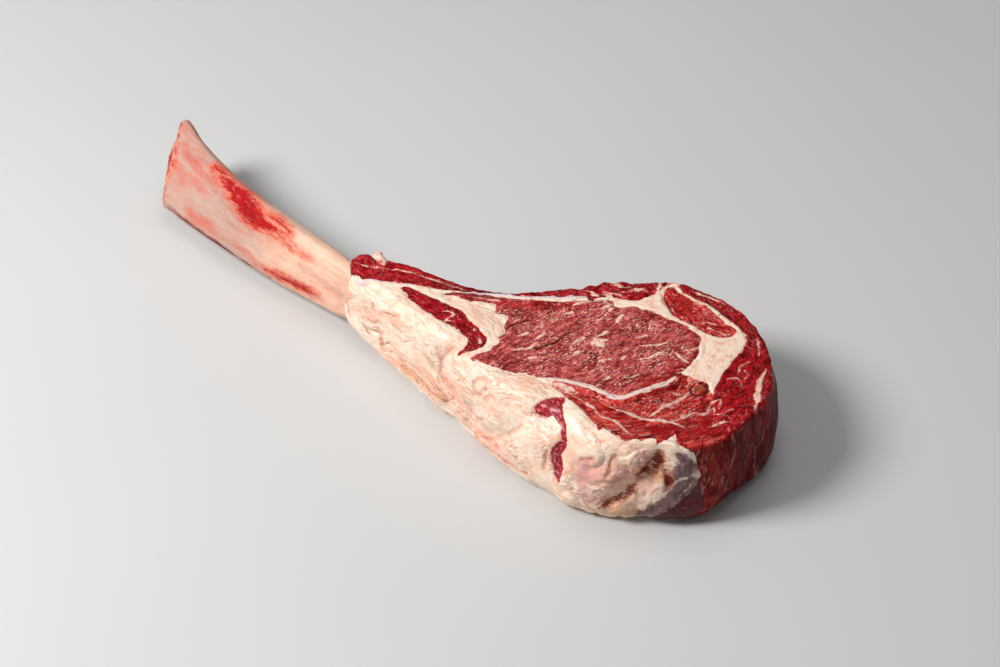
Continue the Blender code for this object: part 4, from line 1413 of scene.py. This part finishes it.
def steak():
    seams = seam_lines()
    finish = finishes()
    for name, piece in parted_flesh(seams).items():
        slot = PIECES[name][3]
        mesh = piece.data
        places = points_of(mesh)
        grain = grain_of(places, name)
        attribute_to(mesh, "grain", grain)
        attribute_to(mesh, "seam_gap", distance_to_seams(places, seams))
        # How far down the side each point is, for the painted shade on the lean's sides
        if slot in LEANS:
            attribute_to(mesh, "side", 1 - on_cut_face(places))
        if slot == "outer_fat":
            attribute_to(mesh, "wrinkle", wrinkles(grain))
            attribute_to(mesh, "puff", puffs(places))
            attribute_to(mesh, "pleat", pleats(places, grain))
        mark(mesh, places, slot)
        dress(piece, name, finish[slot])
    bone_piece = rib_bone()
    mark(bone_piece.data, points_of(bone_piece.data), "bone")
    dress(bone_piece, "rib_bone", finish["bone"])


# ---------------------------------------------------------------- the studio

FLOOR_SIZE = 8.0
CAMERA_TARGET = Vector((0.030, 0.0235, 0.0))
CAMERA_AZIMUTH, CAMERA_ELEVATION = math.radians(36), math.radians(40)
CAMERA_DISTANCE = 1.33
CAMERA_LENS = 85.0

# Each soft light: where it stands, how wide it is and its power
LIGHTS = {
    "key": ((-0.7, -0.85, 1.1), 0.6, 27.0),
    "overhead": ((0.0, 0.3, 1.7), 1.2, 7.0),
    "fill": ((1.4, -0.6, 0.9), 1.2, 0.4),
}
SKY_GREY = (0.62, 0.64, 0.66, 1.0)
SKY_STRENGTH = 0.26


def plain_floor():
    build = bmesh.new()
    bmesh.ops.create_grid(build, x_segments=1, y_segments=1, size=FLOOR_SIZE / 2)
    floor = add_object("floor", mesh_from(build, "floor"))
    f = Finish("pale_floor")
    tone = f.lumps(300.0)
    f.colour = f.mix((205, 204, 202), (198, 197, 196), tone)
    floor.data.materials.append(f.finished(0.6 + tone * 0.05, tone, 0.01))


def studio():
    for name, (place, width, power) in LIGHTS.items():
        light = bpy.data.lights.new(name, "AREA")
        light.shape = "DISK"
        light.size = width
        light.energy = power
        lamp = add_object(name, light)
        lamp.location = place
        lamp.rotation_euler = (CAMERA_TARGET - Vector(place)).to_track_quat("-Z", "Y").to_euler()
    world = bpy.data.worlds.new("studio")
    world.use_nodes = True
    background = world.node_tree.nodes["Background"]
    background.inputs["Color"].default_value = SKY_GREY
    background.inputs["Strength"].default_value = SKY_STRENGTH
    bpy.context.scene.world = world
    bpy.context.scene.view_settings.view_transform = "Standard"


def camera():
    data = bpy.data.cameras.new("camera")
    data.lens = CAMERA_LENS
    data.sensor_width = 36.0
    made = add_object("camera", data)
    flat = math.cos(CAMERA_ELEVATION)
    x, y = math.sin(CAMERA_AZIMUTH) * flat, -math.cos(CAMERA_AZIMUTH) * flat
    back = Vector((x, y, math.sin(CAMERA_ELEVATION)))
    made.location = CAMERA_TARGET + back * CAMERA_DISTANCE
    made.rotation_euler = (-back).to_track_quat("-Z", "Y").to_euler()
    bpy.context.scene.camera = made


camera()
studio()
plain_floor()
steak()
